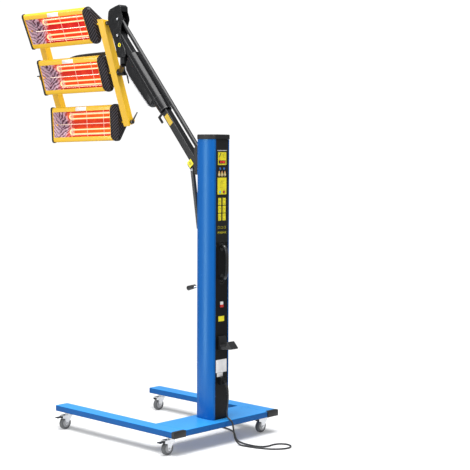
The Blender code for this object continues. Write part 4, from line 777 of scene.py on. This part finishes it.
def reflector(label, turn, body, face):
    """The polished trough and the walls that close its ends."""
    line = both_halves(REFLECTOR, face)
    finish = reflector_finish(label)
    trough = strip(line, INSIDE_START, INSIDE_END, 6, turn)
    made = piece(label + "_reflector_sheet", trough, body, finish, crease=0.5)
    filled(made.modifiers.new("sheet", "SOLIDIFY"), thickness=0.0004, offset=0.0)
    wall = plate(line, INSIDE_END - 0.001, INSIDE_END - 0.0004, at=turn)
    piece(label + "_far_wall", wall, body, far_end_finish(label))
    wall = plate(line, INSIDE_START, INSIDE_START + 0.0006, at=turn)
    piece(label + "_near_wall", wall, body, finish)


def twin_tube(row, depth):
    """The line of one lamp: out along one leg, round the bend, and back."""
    half = LEG_APART / 2
    bend = LAMP_END - BEND_GAP - half
    ways = [(LAMP_START, half), ((LAMP_START + bend) / 2, half)]
    turns = [pi * k / 12 for k in range(13)]
    ways += [(bend + half * sin(a), half * cos(a)) for a in turns]
    ways += [((LAMP_START + bend) / 2, -half), (LAMP_START, -half)]
    return [(depth, along, row + off) for along, off in ways]


def lamps(label, turn, body, face):
    """Two twin tubes, each with a socket at its root and a split holder near its bend."""
    depth = face + LAMP_DEPTH
    glow, holders = [], []
    for row in LAMP_ROWS:
        glow.append(tube(twin_tube(row, depth), GLOW_RADIUS, 14, turn))
        root = rectangle((depth - 0.008, row - 0.021), (depth + 0.008, row + 0.021))
        holders.append(plate(root, LAMP_START - 0.0028, LAMP_START - 0.0002, 0.0008, at=turn))
        for side, edge in ((-1, row - 0.0215), (1, row)):
            middle = (depth, row + side * LEG_APART / 2)
            half = rounded((depth - 0.0085, edge + 0.0003), (depth + 0.0085, edge + 0.0212), 0.002)
            holders.append(ring(resampled(half, 24, middle), circle(middle, HOLDER_HOLE, 24),
                                HOLDER_START, HOLDER_START + HOLDER_THICK, at=turn))
    piece(label + "_quartz_tubes", joined(glow), body, lamp_glow, [label + "_lamps"])
    piece(label + "_lamp_holders", joined(holders), body, ceramic)


def guard(label, turn, body, face):
    """Three bowed wires across the opening and three straight ones along it."""
    wires = []
    for along in GUARD_CROSSWISE:
        line = [(GUARD_END_DEPTHS.get(abs(k), GUARD_DEPTH), -GUARD_STEP * k) for k in range(-10, 11)]
        wires.append(tube([(face + depth, along, up) for depth, up in line], 0.0011, 8, turn))
    for up, start, end, thick in GUARD_LENGTHWISE:
        depth = face + GUARD_DEPTH + 0.0012 + thick
        points = [(depth, start + (end - start) * k / 10, up) for k in range(11)]
        wires.append(tube(points, thick, 8, turn))
    piece(label + "_wire_guard", joined(wires), body, lamp_lit_guard_wire)


def sticker(label, turn, body, face):
    line = [(face + depth, up) for depth, up in STICKER]
    made = piece(label + "_bare_sticker", strip(line, 0.29, 0.368, 2, turn), body, glowing_sticker_white, crease=2.0)
    filled(made.modifiers.new("film", "SOLIDIFY"), thickness=0.0002, offset=1.0)


def drawn_in(outline, up, back):
    """A head's outline drawn in by a height at top and bottom and a little at front and back."""
    tall = (CAP_HALF_HEIGHT - up) / CAP_HALF_HEIGHT
    deep = (CAP_MIDDLE - back) / CAP_MIDDLE
    return [(CAP_MIDDLE + (depth - CAP_MIDDLE) * deep, high * tall) for depth, high in outline]


def near_cap(label, turn, body, face):
    """The moulded cap: full height in the middle, its ends rounded in the face's own plane."""
    cuts = [(CAP_START + inset, inset) for inset in CAP_CUTS]
    cuts += [(CAP_END - inset, inset) for inset in reversed(CAP_CUTS)]
    loops = []
    for along, inset in cuts:
        up = CAP_ROUND - sqrt(max(0.0, CAP_ROUND ** 2 - (CAP_ROUND - inset) ** 2))
        back = 0.0016 * max(0.0, 1 - inset / 0.004) ** 2
        line = both_halves(drawn_in(CAP_OUTLINE, up, back), face)
        loops.append(on_axis(line, along, "y"))
    piece(label + "_ribbed_cap", lofted(loops, at=turn), body, cap_finish(label),
          [label + "_near_cap"], crease=0.7)
    inner = [(depth + copysign(0.003, CAP_MIDDLE - depth), high - 0.003) for depth, high in CAP_OUTLINE]
    under = plate(both_halves(inner, face), CAP_END - 0.014, CAP_END + 0.0002, at=turn)
    piece(label + "_housing_end", under, body, paint_yellow)


def lock_pin():
    """Black pin on the far side of the middle head."""
    stops = ((0.5545, 0.5585, 0.0075, 0.0075, 18), (0.558, 0.585, 0.0036, 0.003, 16))
    parts = [rod((-0.006, start, 0.012), (-0.006, end, 0.012), radius, far, sides, 0.0006, HEAD["middle"])
             for start, end, radius, far, sides in stops]
    piece("middle_lock_pin", joined(parts), "middle_cassette", plastic_black)


for makers in ((reflector, lamps, guard, sticker), (near_cap,)):
    for label in HEADS:
        for maker in makers:
            maker(label, HEAD[label], label + "_cassette", FACE[label])
lock_pin()


# Control panel; places on it are pairs of x from the column's middle and height above the floor

TOUCH = 0.00004
LABEL_THICK = 0.0004
ROUND_BUTTONS, ROUND_BUTTON_HOLE = ((-0.0141, 1.2082), (0.0129, 1.2082)), 0.00705
MODE_BUTTONS, MODE_HEIGHT, TAG_RADIUS, TAG_NECK = (-0.019, 0.0, 0.0196), 1.29, 0.0078, 0.0115
LABEL_ROWS = ((1.1463, 1.18), (1.1095, 1.1426), (1.0727, 1.1058))
SCREW_HEIGHTS, SCREW_OFF = (1.452, 1.2974, 1.1365, 0.9765, 0.9505, 0.62, 0.23), 0.0378
SEGMENTS = {
    "a": ((0, 2), (1, 2)), "b": ((1, 1), (1, 2)), "c": ((1, 0), (1, 1)), "d": ((0, 0), (1, 0)),
    "e": ((0, 0), (0, 1)), "f": ((0, 1), (0, 2)), "g": ((0, 1), (1, 1)),
}
SCREW_HEAD = ((0.0031, 0.00005), (0.0031, 0.0006), (0.0026, 0.0013), (0.0015, 0.0017), (0.0011, 0.0009))


def on_panel(outline):
    return [(x + SHIFT.x, z) for x, z in outline]


def panel_plate(low, high, thick=LABEL_THICK, corner=0.0015):
    """A thin plate on the panel, with round corners."""
    return plate(on_panel(rounded(low, high, corner)), PANEL_Y - thick, PANEL_Y - TOUCH)


def panel_ring(outer, inner, thick):
    return ring(on_panel(outer), on_panel(inner), PANEL_Y - thick, PANEL_Y - TOUCH)


def stud(x, z, near, far, radius, sides, soft):
    """A round head standing on the panel, between two heights above it."""
    ends = [(x + SHIFT.x, PANEL_Y - height, z) for height in (near, far)]
    return rod(*ends, radius, sides=sides, soft=soft)


def stroke(first, second, width=0.0005, lift=LABEL_THICK, thick=0.00015):
    """A thin inked line on a label."""
    first, second = Vector(first), Vector(second)
    way = (second - first).normalized() * width / 2
    side = Vector((-way.y, way.x))
    corners = [first - way - side, second + way - side, second + way + side, first - way + side]
    return plate(on_panel(corners), PANEL_Y - lift - thick, PANEL_Y - lift - TOUCH / 2)


def frame_lines(low, high, width=0.0005, **more):
    line = rectangle(low, high)
    return [stroke(p, q, width, **more) for p, q in zip(line, line[1:] + line[:1])]


def stand_drawing(x, z, size, lean, head):
    """A plain line drawing of a post with a leaning arm and a slatted box."""
    reach = size * 0.42
    tip_x, tip_z = x + reach * cos(lean), z + size + reach * sin(lean)
    foot = ((x - size * 0.12, z), (x + size * 0.55, z))
    lines = (((x, z), (x, z + size)), foot, ((x, z + size), (tip_x, tip_z)))
    parts = [stroke(first, second, 0.0006) for first, second in lines]
    parts += frame_lines((tip_x, tip_z - head), (tip_x + head, tip_z))
    for k in (1, 2):
        slat = tip_z - head + head * k / 3
        parts.append(stroke((tip_x, slat), (tip_x + head, slat), 0.0004))
    return parts


def digit(x, z, wide, high, lit):
    """One seven-segment digit."""
    found = []
    for name in lit:
        ends = [Vector((x + wide * across, z + high / 2 * up)) for across, up in SEGMENTS[name]]
        gap = (ends[1] - ends[0]).normalized() * 0.0008
        found.append(stroke(ends[0] + gap, ends[1] - gap, 0.0009, 0.0007, 0.00025))
    return found


def panel_labels():
    """The yellow print's grounds, with round holes for the two blue buttons."""
    yellow = [panel_plate((-0.0276, 1.3363), (0.0288, 1.3976))]
    yellow.append(panel_plate((-0.03, 1.22), (0.03, 1.2763), corner=0.0004))
    for (low, high), middle in zip(((-0.03, -0.0006), (-0.0006, 0.03)), ROUND_BUTTONS):
        outline = resampled(rectangle((low, 1.1966), (high, 1.21995)), 48, middle)
        yellow.append(panel_ring(outline, circle(middle, ROUND_BUTTON_HOLE, 48), LABEL_THICK))
    for low, high in ((-0.0251, -0.0049), (0.0049, 0.0251)):
        yellow += [panel_plate((low, bottom), (high, top), corner=0.0008) for bottom, top in LABEL_ROWS]
    fixed("panel_labels", yellow, label_yellow)


def button_tags():
    """A keyhole-shaped tag round each small button, and a lamp above it; one more lamp by the display."""
    tags, lights = [], []
    for x in MODE_BUTTONS:
        outline = []
        for a in angles(40):
            neck = max(0.0, sin(a)) ** 6 * TAG_NECK
            outline.append((x + TAG_RADIUS * cos(a), MODE_HEIGHT + TAG_RADIUS * sin(a) + neck))
        tags.append(panel_ring(outline, circle((x, MODE_HEIGHT), 0.0045, 40), 0.0005))
        lights.append(stud(x, 1.303, 0.0013, 0.00052, 0.0021, 20, 0.0003))
    fixed("button_tags", tags, tag_yellow)
    lights.append(stud(-0.0169, 1.365, 0.0013, 0.00045, 0.003, 20, 0.0003))
    fixed("indicator_lights", lights, lamp_red)


def display():
    """The dark window with a lit time: two digits, a colon, two digits."""
    window = panel_plate((-0.0227, 1.3425), (0.0233, 1.3584), 0.00065, 0.0006)
    fixed("display_window", [window], display_window)
    digits = []
    for number, lit in enumerate(("bc", "abged", "abcdef", "abcdef")):
        x = -0.018 + number * 0.009 + (0.0028 if number > 1 else 0)
        digits += digit(x, 1.3456, 0.0056, 0.0097, lit)
    for z in (1.348, 1.3528):
        digits.append(stroke((0.001, z), (0.0011, z), 0.0012, 0.0007, 0.00025))
    fixed("display_digits", digits, digit_red)


def drawings():
    """Black line drawings on the yellow labels."""
    ink = frame_lines((-0.0262, 1.3377), (0.0274, 1.3962), 0.0004)
    ink.append(stroke((-0.018, 1.3745), (-0.009, 1.3915), 0.0042))
    ink.append(stroke((0.01, 1.3705), (0.01, 1.389), 0.0006))
    ink += frame_lines((0.012, 1.3705), (0.021, 1.39), 0.0006)
    for k in range(3):
        z = 1.3755 + k * 0.0048
        ink.append(stroke((-0.004, z), (0.007, z + 0.0008)))
    ink += stand_drawing(-0.01, 1.229, 0.025, 0.75, 0.015)
    spots = [(x, bottom + 0.0037) for bottom, _ in LABEL_ROWS for x in (-0.0215, 0.0085)]
    for (x, z), lean in zip(spots, (-0.7, 0.0, -0.3, -0.9, -0.5, 0.4)):
        ink += stand_drawing(x, z + 0.005, 0.017, lean, 0.0058)
        ink.append(stroke((x, z - 0.0002), (x + 0.0125, z - 0.0002)))
        ink.append(stroke((x, z + 0.0018), (x + 0.011, z + 0.0018)))
    fixed("label_drawings", ink, ink_black)


def symbols():
    """Two rows of small frames on the black ground, and the line under the panel's top field."""
    pale = []
    for k in range(3):
        x = k * 0.0205
        pale += frame_lines((x - 0.027, 1.0345), (x - 0.0155, 1.045), 0.0007, lift=0.0)
    for k in range(4):
        x = k * 0.0148
        pale += frame_lines((x - 0.0275, 1.0105), (x - 0.0165, 1.0205), lift=0.0)
        pale.append(stroke((x - 0.025, 1.0155), (x - 0.019, 1.0155), 0.002, lift=0.0))
    fixed("panel_symbols", pale, label_yellow)
    divider = stroke((-0.031, 1.405), (0.031, 1.405), 0.0022, lift=0.0)
    fixed("panel_divider", [divider], label_white)


def screw_head(x, z):
    """A small domed head with a recess."""
    loops = [on_axis(circle((0, 0), radius, 20), -height, "y") for radius, height in SCREW_HEAD]
    return lofted(loops, at=Matrix.Translation((x + SHIFT.x, PANEL_Y, z)))


panel_labels()
button_tags()
display()
drawings()
symbols()
screws = [screw_head(x, z) for z in SCREW_HEIGHTS for x in (-SCREW_OFF, SCREW_OFF)]
fixed("panel_screws", screws, steel_dark)


# Fittings on the column, arm, base and casters

GRIP_FEET, GRIP_MIDDLE = (0.95, 0.794), 0.872
RIM_OUTER, RIM_INNER, RIM_POWER = (0.029, 0.105), (0.0262, 0.1015), 0.8
BELLY_TOP, HIGHLIGHT_STRIP_RADIUS = -0.018, 0.003
# The sleeve's lower half: place along the arm, depth below it, and half width
BELLY = (
    (0.444, 0.046, 0.015), (0.447, 0.056, 0.0205), (0.453, 0.064, 0.025), (0.464, 0.07, 0.028),
    (0.52, 0.075, 0.029), (0.6, 0.08, 0.029), (0.67, 0.083, 0.029), (0.71, 0.08, 0.0285),
    (0.73, 0.07, 0.027), (0.74, 0.055, 0.024),
)
ARM_LABEL = ((0.284, -0.0128), (0.345, 0.0138))
STRUT_TAG, STRUT_TAG_MIDDLE = ((0.036, -0.037), (0.068, -0.005)), (0.052, -0.021)
CASTING_BOLTS = ((0.03413, 1.98795), (0.03413, 2.07095))
CASTING_RING = (0.0215, 1.94)
NUT_OUT, NUT_SIZE, NUT_HIGH = 0.0157, 0.0052, 0.0028


def squarish(half):
    """A superellipse round the grip's middle."""
    found = []
    for a in angles(72):
        x, z = (copysign(abs(way) ** RIM_POWER, way) for way in (cos(a), sin(a)))
        found.append((half[0] * x, GRIP_MIDDLE + half[1] * z))
    return found


def column_fittings():
    """The grip's feet and recess, the plain labels, the panel's seam and the hook's screws."""
    mounts = []
    for z in GRIP_FEET:
        outline = []
        outward = 1 if z > GRIP_MIDDLE else -1
        for a in angles(48):
            up = sin(a) * outward
            reach = 0.015 if up > 0 else 0.015 + 0.009 * abs(up)
            outline.append((0.015 * cos(a), z + reach * sin(a)))
        mounts.append(panel_ring(outline, circle((0, z), 0.009, 48), 0.0016))
    fixed("handle_mounts", mounts, plastic_gloss)
    rim = panel_ring(squarish(RIM_OUTER), squarish(RIM_INNER), 0.0013)
    fixed("handle_recess_rim", [rim], plastic_gloss)
    spare = panel_plate((-0.021, 0.5895), (0.018, 0.6145), corner=0.0008)
    fixed("spare_label", [spare], label_yellow)
    bare = [panel_plate((-0.037, 0.3425), (0.036, 0.405), corner=0.001)]
    bare.append(panel_plate((-0.03, 0.3225), (0.01, 0.3416), corner=0.001))
    fixed("bare_rating_plate", bare, label_white)
    seam = panel_plate((-0.0421, 0.9685), (0.0421, 0.9687), 0.0002, 0.00005)
    fixed("panel_seam", [seam], steel_dark)
    hook = [stud(x, 0.5105, 0.0085, 0.0072, 0.0034, 18, 0.0004) for x in (-0.016, 0.016)]
    fixed("hook_screws", hook, steel_dark)


def arm_fittings():
    """Labels on the arm, the strut's plates and the casting, and the casting's bolts."""
    label = plate(rectangle(*ARM_LABEL), -0.0194, -0.01905, axis="x", at=ARM)
    piece("arm_label", label, "arm", label_amber)
    tag = plate(rounded(*STRUT_TAG, 0.002), -0.0208, -0.0202, axis="x", at=ARM)
    piece("strut_tag", tag, "arm", label_yellow)
    outer, inner = (circle(STRUT_TAG_MIDDLE, radius, 32) for radius in (0.008, 0.0062))
    mark = [ring(outer, inner, -0.021, -0.02085, "x", ARM)]
    mark.append(plate(rectangle((0.0475, -0.0222), (0.0565, -0.0198)), -0.021, -0.02085, axis="x", at=ARM))
    piece("strut_tag_mark", joined(mark), "arm", ink_black)
    bolts = []
    for y, z in CASTING_BOLTS:
        bolts.append(rod((-0.0102, y, z), (-0.0086, y, z), 0.0062, 0.0066, 24, 0.0005))
        bolts.append(rod((-0.0108, y, z), (-0.0103, y, z), 0.0034, 0.0038, 6))
    piece("casting_bolts", joined(bolts), "casting", zinc_plate)
    spot = ring(circle(CASTING_RING, 0.01, 40), circle(CASTING_RING, 0.0052, 40), -0.00505, -0.0046, "x")
    piece("casting_ring_sticker", spot, "casting", label_yellow)


def cover_belly():
    """The sleeve's deep lower half: a closed, rounded trough under the arm, with a pale grey strip as a
    painted highlight.
    """
    loops = []
    for along, deep, wide in BELLY:
        bow = [(-wide * cos(pi * k / 12), wide - deep - wide * sin(pi * k / 12))
               for k in range(13)]
        loops.append(on_axis([(-wide, BELLY_TOP), *bow, (wide, BELLY_TOP)], along, "y"))
    piece("arm_cover_belly", lofted(loops, at=ARM), "arm", cover_black)
    # A pale grey strip along the sleeve's near lower side: a painted highlight
    highlight_strip = [(-wide * 0.7, along, wide - deep - wide * 0.77) for along, deep, wide in BELLY[3:9]]
    piece("arm_cover_highlight_strip", tube(highlight_strip, HIGHLIGHT_STRIP_RADIUS, 12, ARM), "arm", highlight_strip_grey)


def leg_caps():
    """Black caps on the legs' near ends, and blue plugs in their far ends."""
    legs = [(name, *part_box(name)) for name in ("left_leg", "right_leg")]
    for name, low, high in legs:
        outer = rounded((low.x - 0.0008, low.z - 0.0005), (high.x + 0.0008, high.z + 0.0008), 0.003)
        inner = rounded((low.x - 0.0001, low.z - 0.0001), (high.x + 0.0001, high.z + 0.0001), 0.0006)
        centre = ((low.x + high.x) / 2, (low.z + high.z) / 2)
        outlines = [resampled(line, 64, centre) for line in (outer, inner)]
        sleeve = ring(*outlines, low.y - 0.0002, low.y + 0.015)
        front = plate(outer, low.y - 0.0032, low.y - 0.0002, 0.0012)
        fixed(name + "_end_cap", [sleeve, front], plastic_black)
    for name, low, high in legs:
        outline = rounded((low.x + 0.0006, low.z + 0.0006), (high.x - 0.0006, high.z - 0.0006), 0.002)
        plug = plate(outline, high.y + 0.0002, high.y + 0.0022, 0.0008)
        fixed(name + "_far_plug", [plug], paint_blue)


def caster_fittings():
    """A hexagon nut and the axle's end on both sides of each wheel."""
    for corner in CORNERS:
        centre = sum(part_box(corner + "_wheel"), Vector()) / 2
        parts = []
        for side in (-1, 1):
            seat = centre.y + side * NUT_OUT
            top = seat + side * NUT_HIGH
            outline = circle((centre.x, centre.z), NUT_SIZE, 6)
            parts.append(plate(outline, min(seat, top), max(seat, top), 0.0005))
            ends = [(centre.x, y, centre.z) for y in (top, top + side * 0.0012)]
            parts.append(rod(*ends, 0.0028, sides=14, soft=0.0004))
        piece(corner + "_axle_nuts", joined(parts), corner + "_fork_body", steel_bright)


column_fittings()
arm_fittings()
cover_belly()
leg_caps()
caster_fittings()


# Mains cord: down the column, over the bar, out over the floor and back to its coil

CORD_RADIUS = 0.004
FLOOR = 0.0002
CORD_DOWN = (
    (0.004, 0.0075, 0.26), (0.004, 0.0045, 0.225), (0.006, 0.012, 0.175), (0.008, 0.018, 0.143),
    (0.009, 0.009, 0.124), (0.01, -0.006, 0.118), (0.011, -0.018, 0.104), (0.012, -0.026, 0.07),
    (0.013, -0.036, 0.03), (0.016, -0.062, 0.006),
)
CORD_ACROSS_FLOOR = (
    (0.022, -0.11), (0.036, -0.165), (0.061, -0.218), (0.096, -0.252), (0.136, -0.2655),
    (0.172, -0.25), (0.185, -0.215), (0.169, -0.183), (0.134, -0.171), (0.099, -0.174),
    (0.07, -0.161), (0.053, -0.131), (0.049, -0.09), (0.053, -0.045), (0.07, 0.001),
    (0.105, 0.048), (0.152, 0.098), (0.194, 0.152), (0.219, 0.21), (0.2249, 0.26),
)
CORD_STEP = 0.012
CORD_EXIT = Vector((0.004, 0.02212, 0.29108))
CORD_FIRST = Vector((0.004, 0.01696, 0.28535))
COIL_CENTRE = Vector((0.165, 0.325, 0.0))
COIL_INNER, COIL_PITCH, COIL_LAYER = 0.0335, 0.0088, 0.0086
COIL_OUTER = COIL_INNER + COIL_PITCH * 3.0
COIL_TURNS = (3.0, 3.0, 3.0, 2.5)
PER_TURN = 40
PLUG_HEIGHT, PLUG_BODY_LENGTH, PLUG_RIBBED_LENGTH = 0.021, 0.0888, 0.025
PLUG_FALL, PLUG_STEP = (0.0, 0.15, 0.5, 0.85, 1.0), 0.02
RELIEF_RADII = (0.0078, 0.0074, 0.0069, 0.0064, 0.0058, 0.0052, 0.0047)


def smooth_path(route, step):
    """Points a step apart on a smooth curve through the route."""
    route = [Vector(at) for at in route]
    ends = [route[0] * 2 - route[1]] + route + [route[-1] * 2 - route[-2]]
    fine = []
    for before, start, end, after in zip(ends, ends[1:], ends[2:], ends[3:]):
        for number in range(24):
            t = number / 24
            fine.append(0.5 * (
                2 * start + (end - before) * t + (2 * before - 5 * start + 4 * end - after) * t ** 2
                + (3 * start - before - 3 * end + after) * t ** 3
            ))
    fine.append(route[-1])
    lengths = [0.0]
    for start, end in zip(fine, fine[1:]):
        lengths.append(lengths[-1] + (end - start).length)
    steps = max(2, round(lengths[-1] / step))
    found = []
    place = 0
    for number in range(steps + 1):
        wanted = lengths[-1] * number / steps
        while place < len(fine) - 2 and lengths[place + 1] < wanted:
            place += 1
        share = (wanted - lengths[place]) / (lengths[place + 1] - lengths[place])
        found.append(fine[place].lerp(fine[place + 1], share))
    return found


def coil_point(angle, radius, height):
    return COIL_CENTRE + Vector((cos(angle), sin(angle), 0)) * radius + Vector((0, 0, height))


def cord_path():
    """The lead from the gland to the coil, the coil's layers, and the drop to the plug."""
    floor = CORD_RADIUS + FLOOR
    approach = COIL_CENTRE + Vector((COIL_OUTER, -CORD_RADIUS * 2, floor))
    route = [CORD_FIRST, *CORD_DOWN, *((x, y, floor) for x, y in CORD_ACROSS_FLOOR)]
    route += [approach - Vector((0, 0.02, 0)), approach]
    points = smooth_path(route, CORD_STEP)
    for at in points:
        at.z = max(at.z, floor)
    points = [CORD_EXIT, *points]
    angle = 0.0
    turned = FULL_TURN / PER_TURN
    climb = PER_TURN // 4
    for layer, turns in enumerate(COIL_TURNS):
        steps = round(turns * PER_TURN)
        height = floor + COIL_LAYER * layer
        for number in range(steps + 1):
            grown = COIL_PITCH * number / PER_TURN
            radius = COIL_INNER + grown if layer % 2 else COIL_OUTER - grown
            points.append(coil_point(angle, radius, height))
            if number < steps:
                angle += turned
        if layer < len(COIL_TURNS) - 1:
            for number in range(1, climb):
                angle += turned
                points.append(coil_point(angle, radius, height + COIL_LAYER * number / climb))
            angle += turned
    leave = Vector((-sin(angle), cos(angle), 0))
    last = points[-1]
    drop = last.z - PLUG_HEIGHT - FLOOR
    for number, fall in enumerate(PLUG_FALL, 1):
        points.append(last + leave * PLUG_STEP * number - Vector((0, 0, drop * fall)))
    points.append(points[-1] + leave * PLUG_STEP)
    return [at + SHIFT for at in points], leave


def cord():
    """The cord with its tapered strain relief, and the plug's finish."""
    points, leave = cord_path()
    jacket = tube(points, CORD_RADIUS, 12)
    lead = piece("mains_cord", jacket, "base", cord_jacket, ["cord_lead", "cord_coil"])
    length = sum((b - a).length for a, b in zip(points, points[1:]))
    dress("mains_plug", plug_finish(points[-1], leave), 0.0008)
    way = (CORD_FIRST - CORD_EXIT).normalized()
    root = CORD_EXIT + SHIFT
    near = [root + way * (0.0025 * k - 0.0002) for k in range(4)] + points[2:5]
    piece("strain_relief", tube(near, RELIEF_RADII, 18), "base", rubber_grip)


cord()


# Camera, floor and lights

CAMERA_PLACE, CAMERA_TURN, CAMERA_LENS = (-4.1094, -4.698, 1.4009), (86.0515, -0.2658, -46.4474), 92.762
FADE_START, FADE_RISE = 1.25, 1.3
FLOOR_HALF, FLOOR_DROP = 4, 0.0004
LIGHTS = (
    ("key_box", (-3.6, -1.2, 2.6), (0.0, -0.4, 1.2), (1.6, 2.6), 34),
    ("front_box", (-1.2, -4.6, 2.4), (0.0, -0.4, 1.2), (1.2, 2.4), 18),
    ("stripe_box", (-3.62, 2.6, 0.9), (0.02, -0.63, 0.9), (0.4, 4.2), 46),
    ("top_box", (-0.6, -0.8, 4.6), (0.0, -0.2, 0.0), (3.2, 3.2), 300),
)


def camera():
    data = filled(bpy.data.cameras.new("camera"), sensor_width=36.0, lens=CAMERA_LENS, clip_end=100.0)
    turn = [radians(angle) for angle in CAMERA_TURN]
    scene.camera = linked("camera", data, location=CAMERA_PLACE, rotation_euler=turn)


def area_light(name, place, target, size, power):
    data = filled(bpy.data.lights.new(name, "AREA"), shape="RECTANGLE", energy=power)
    data.size, data.size_y = size
    turn = (Vector(target) - Vector(place)).to_track_quat("-Z", "Y").to_euler()
    linked(name, data, location=place, rotation_euler=turn)


def blend(tree, share, first, second, output):
    """Links the first shader where the share is 0 and the second where it is 1."""
    mixed = tree.nodes.new("ShaderNodeMixShader")
    for number, socket in enumerate((share, first.outputs[0], second.outputs[0])):
        tree.links.new(socket, mixed.inputs[number])
    tree.links.new(mixed.outputs[0], tree.nodes[output].inputs["Surface"])


def floor():
    """A white ground that fades into the white backdrop away from the lamp."""
    bm = bmesh.new()
    outline = rectangle((-FLOOR_HALF, -FLOOR_HALF), (FLOOR_HALF, FLOOR_HALF))
    bm.faces.new([bm.verts.new((x, y, -FLOOR_DROP)) for x, y in outline])
    mesh = mesh_of("floor", bm)
    obj = linked("floor", mesh)
    made = Finish("floor_white", (0.82, 0.82, 0.82), 0.9, specular=0.0)
    made.glow((1.0, 1.0, 1.0), 0.14)
    x, y = made.axis("X"), made.axis("Y")
    away = (x * x + y * y).maths("SQRT")
    share = made.clamp((away - FADE_START) * FADE_RISE)
    gone = made.tree.nodes.new("ShaderNodeBsdfTransparent")
    blend(made.tree, share.socket, made.shader, gone, "Material Output")
    mesh.materials.append(made.material)


def world():
    """Soft light from all sides, with a plain white backdrop for the camera."""
    made = bpy.data.worlds.new("studio")
    scene.world = made
    made.use_nodes = True
    nodes = made.node_tree.nodes
    back, seen = nodes["Background"], nodes.new("ShaderNodeBackground")
    for light, colour, strength in ((seen, (1, 1, 1, 1), 1.05), (back, (0.93, 0.96, 1.0, 1), 0.36)):
        light.inputs["Color"].default_value = colour
        light.inputs["Strength"].default_value = strength
    share = nodes.new("ShaderNodeLightPath").outputs["Is Camera Ray"]
    blend(made.node_tree, share, back, seen, "World Output")


camera()
floor()
world()
for light in LIGHTS:
    area_light(*light)
scene.view_settings.view_transform = "Standard"
scene.view_settings.look = "None"
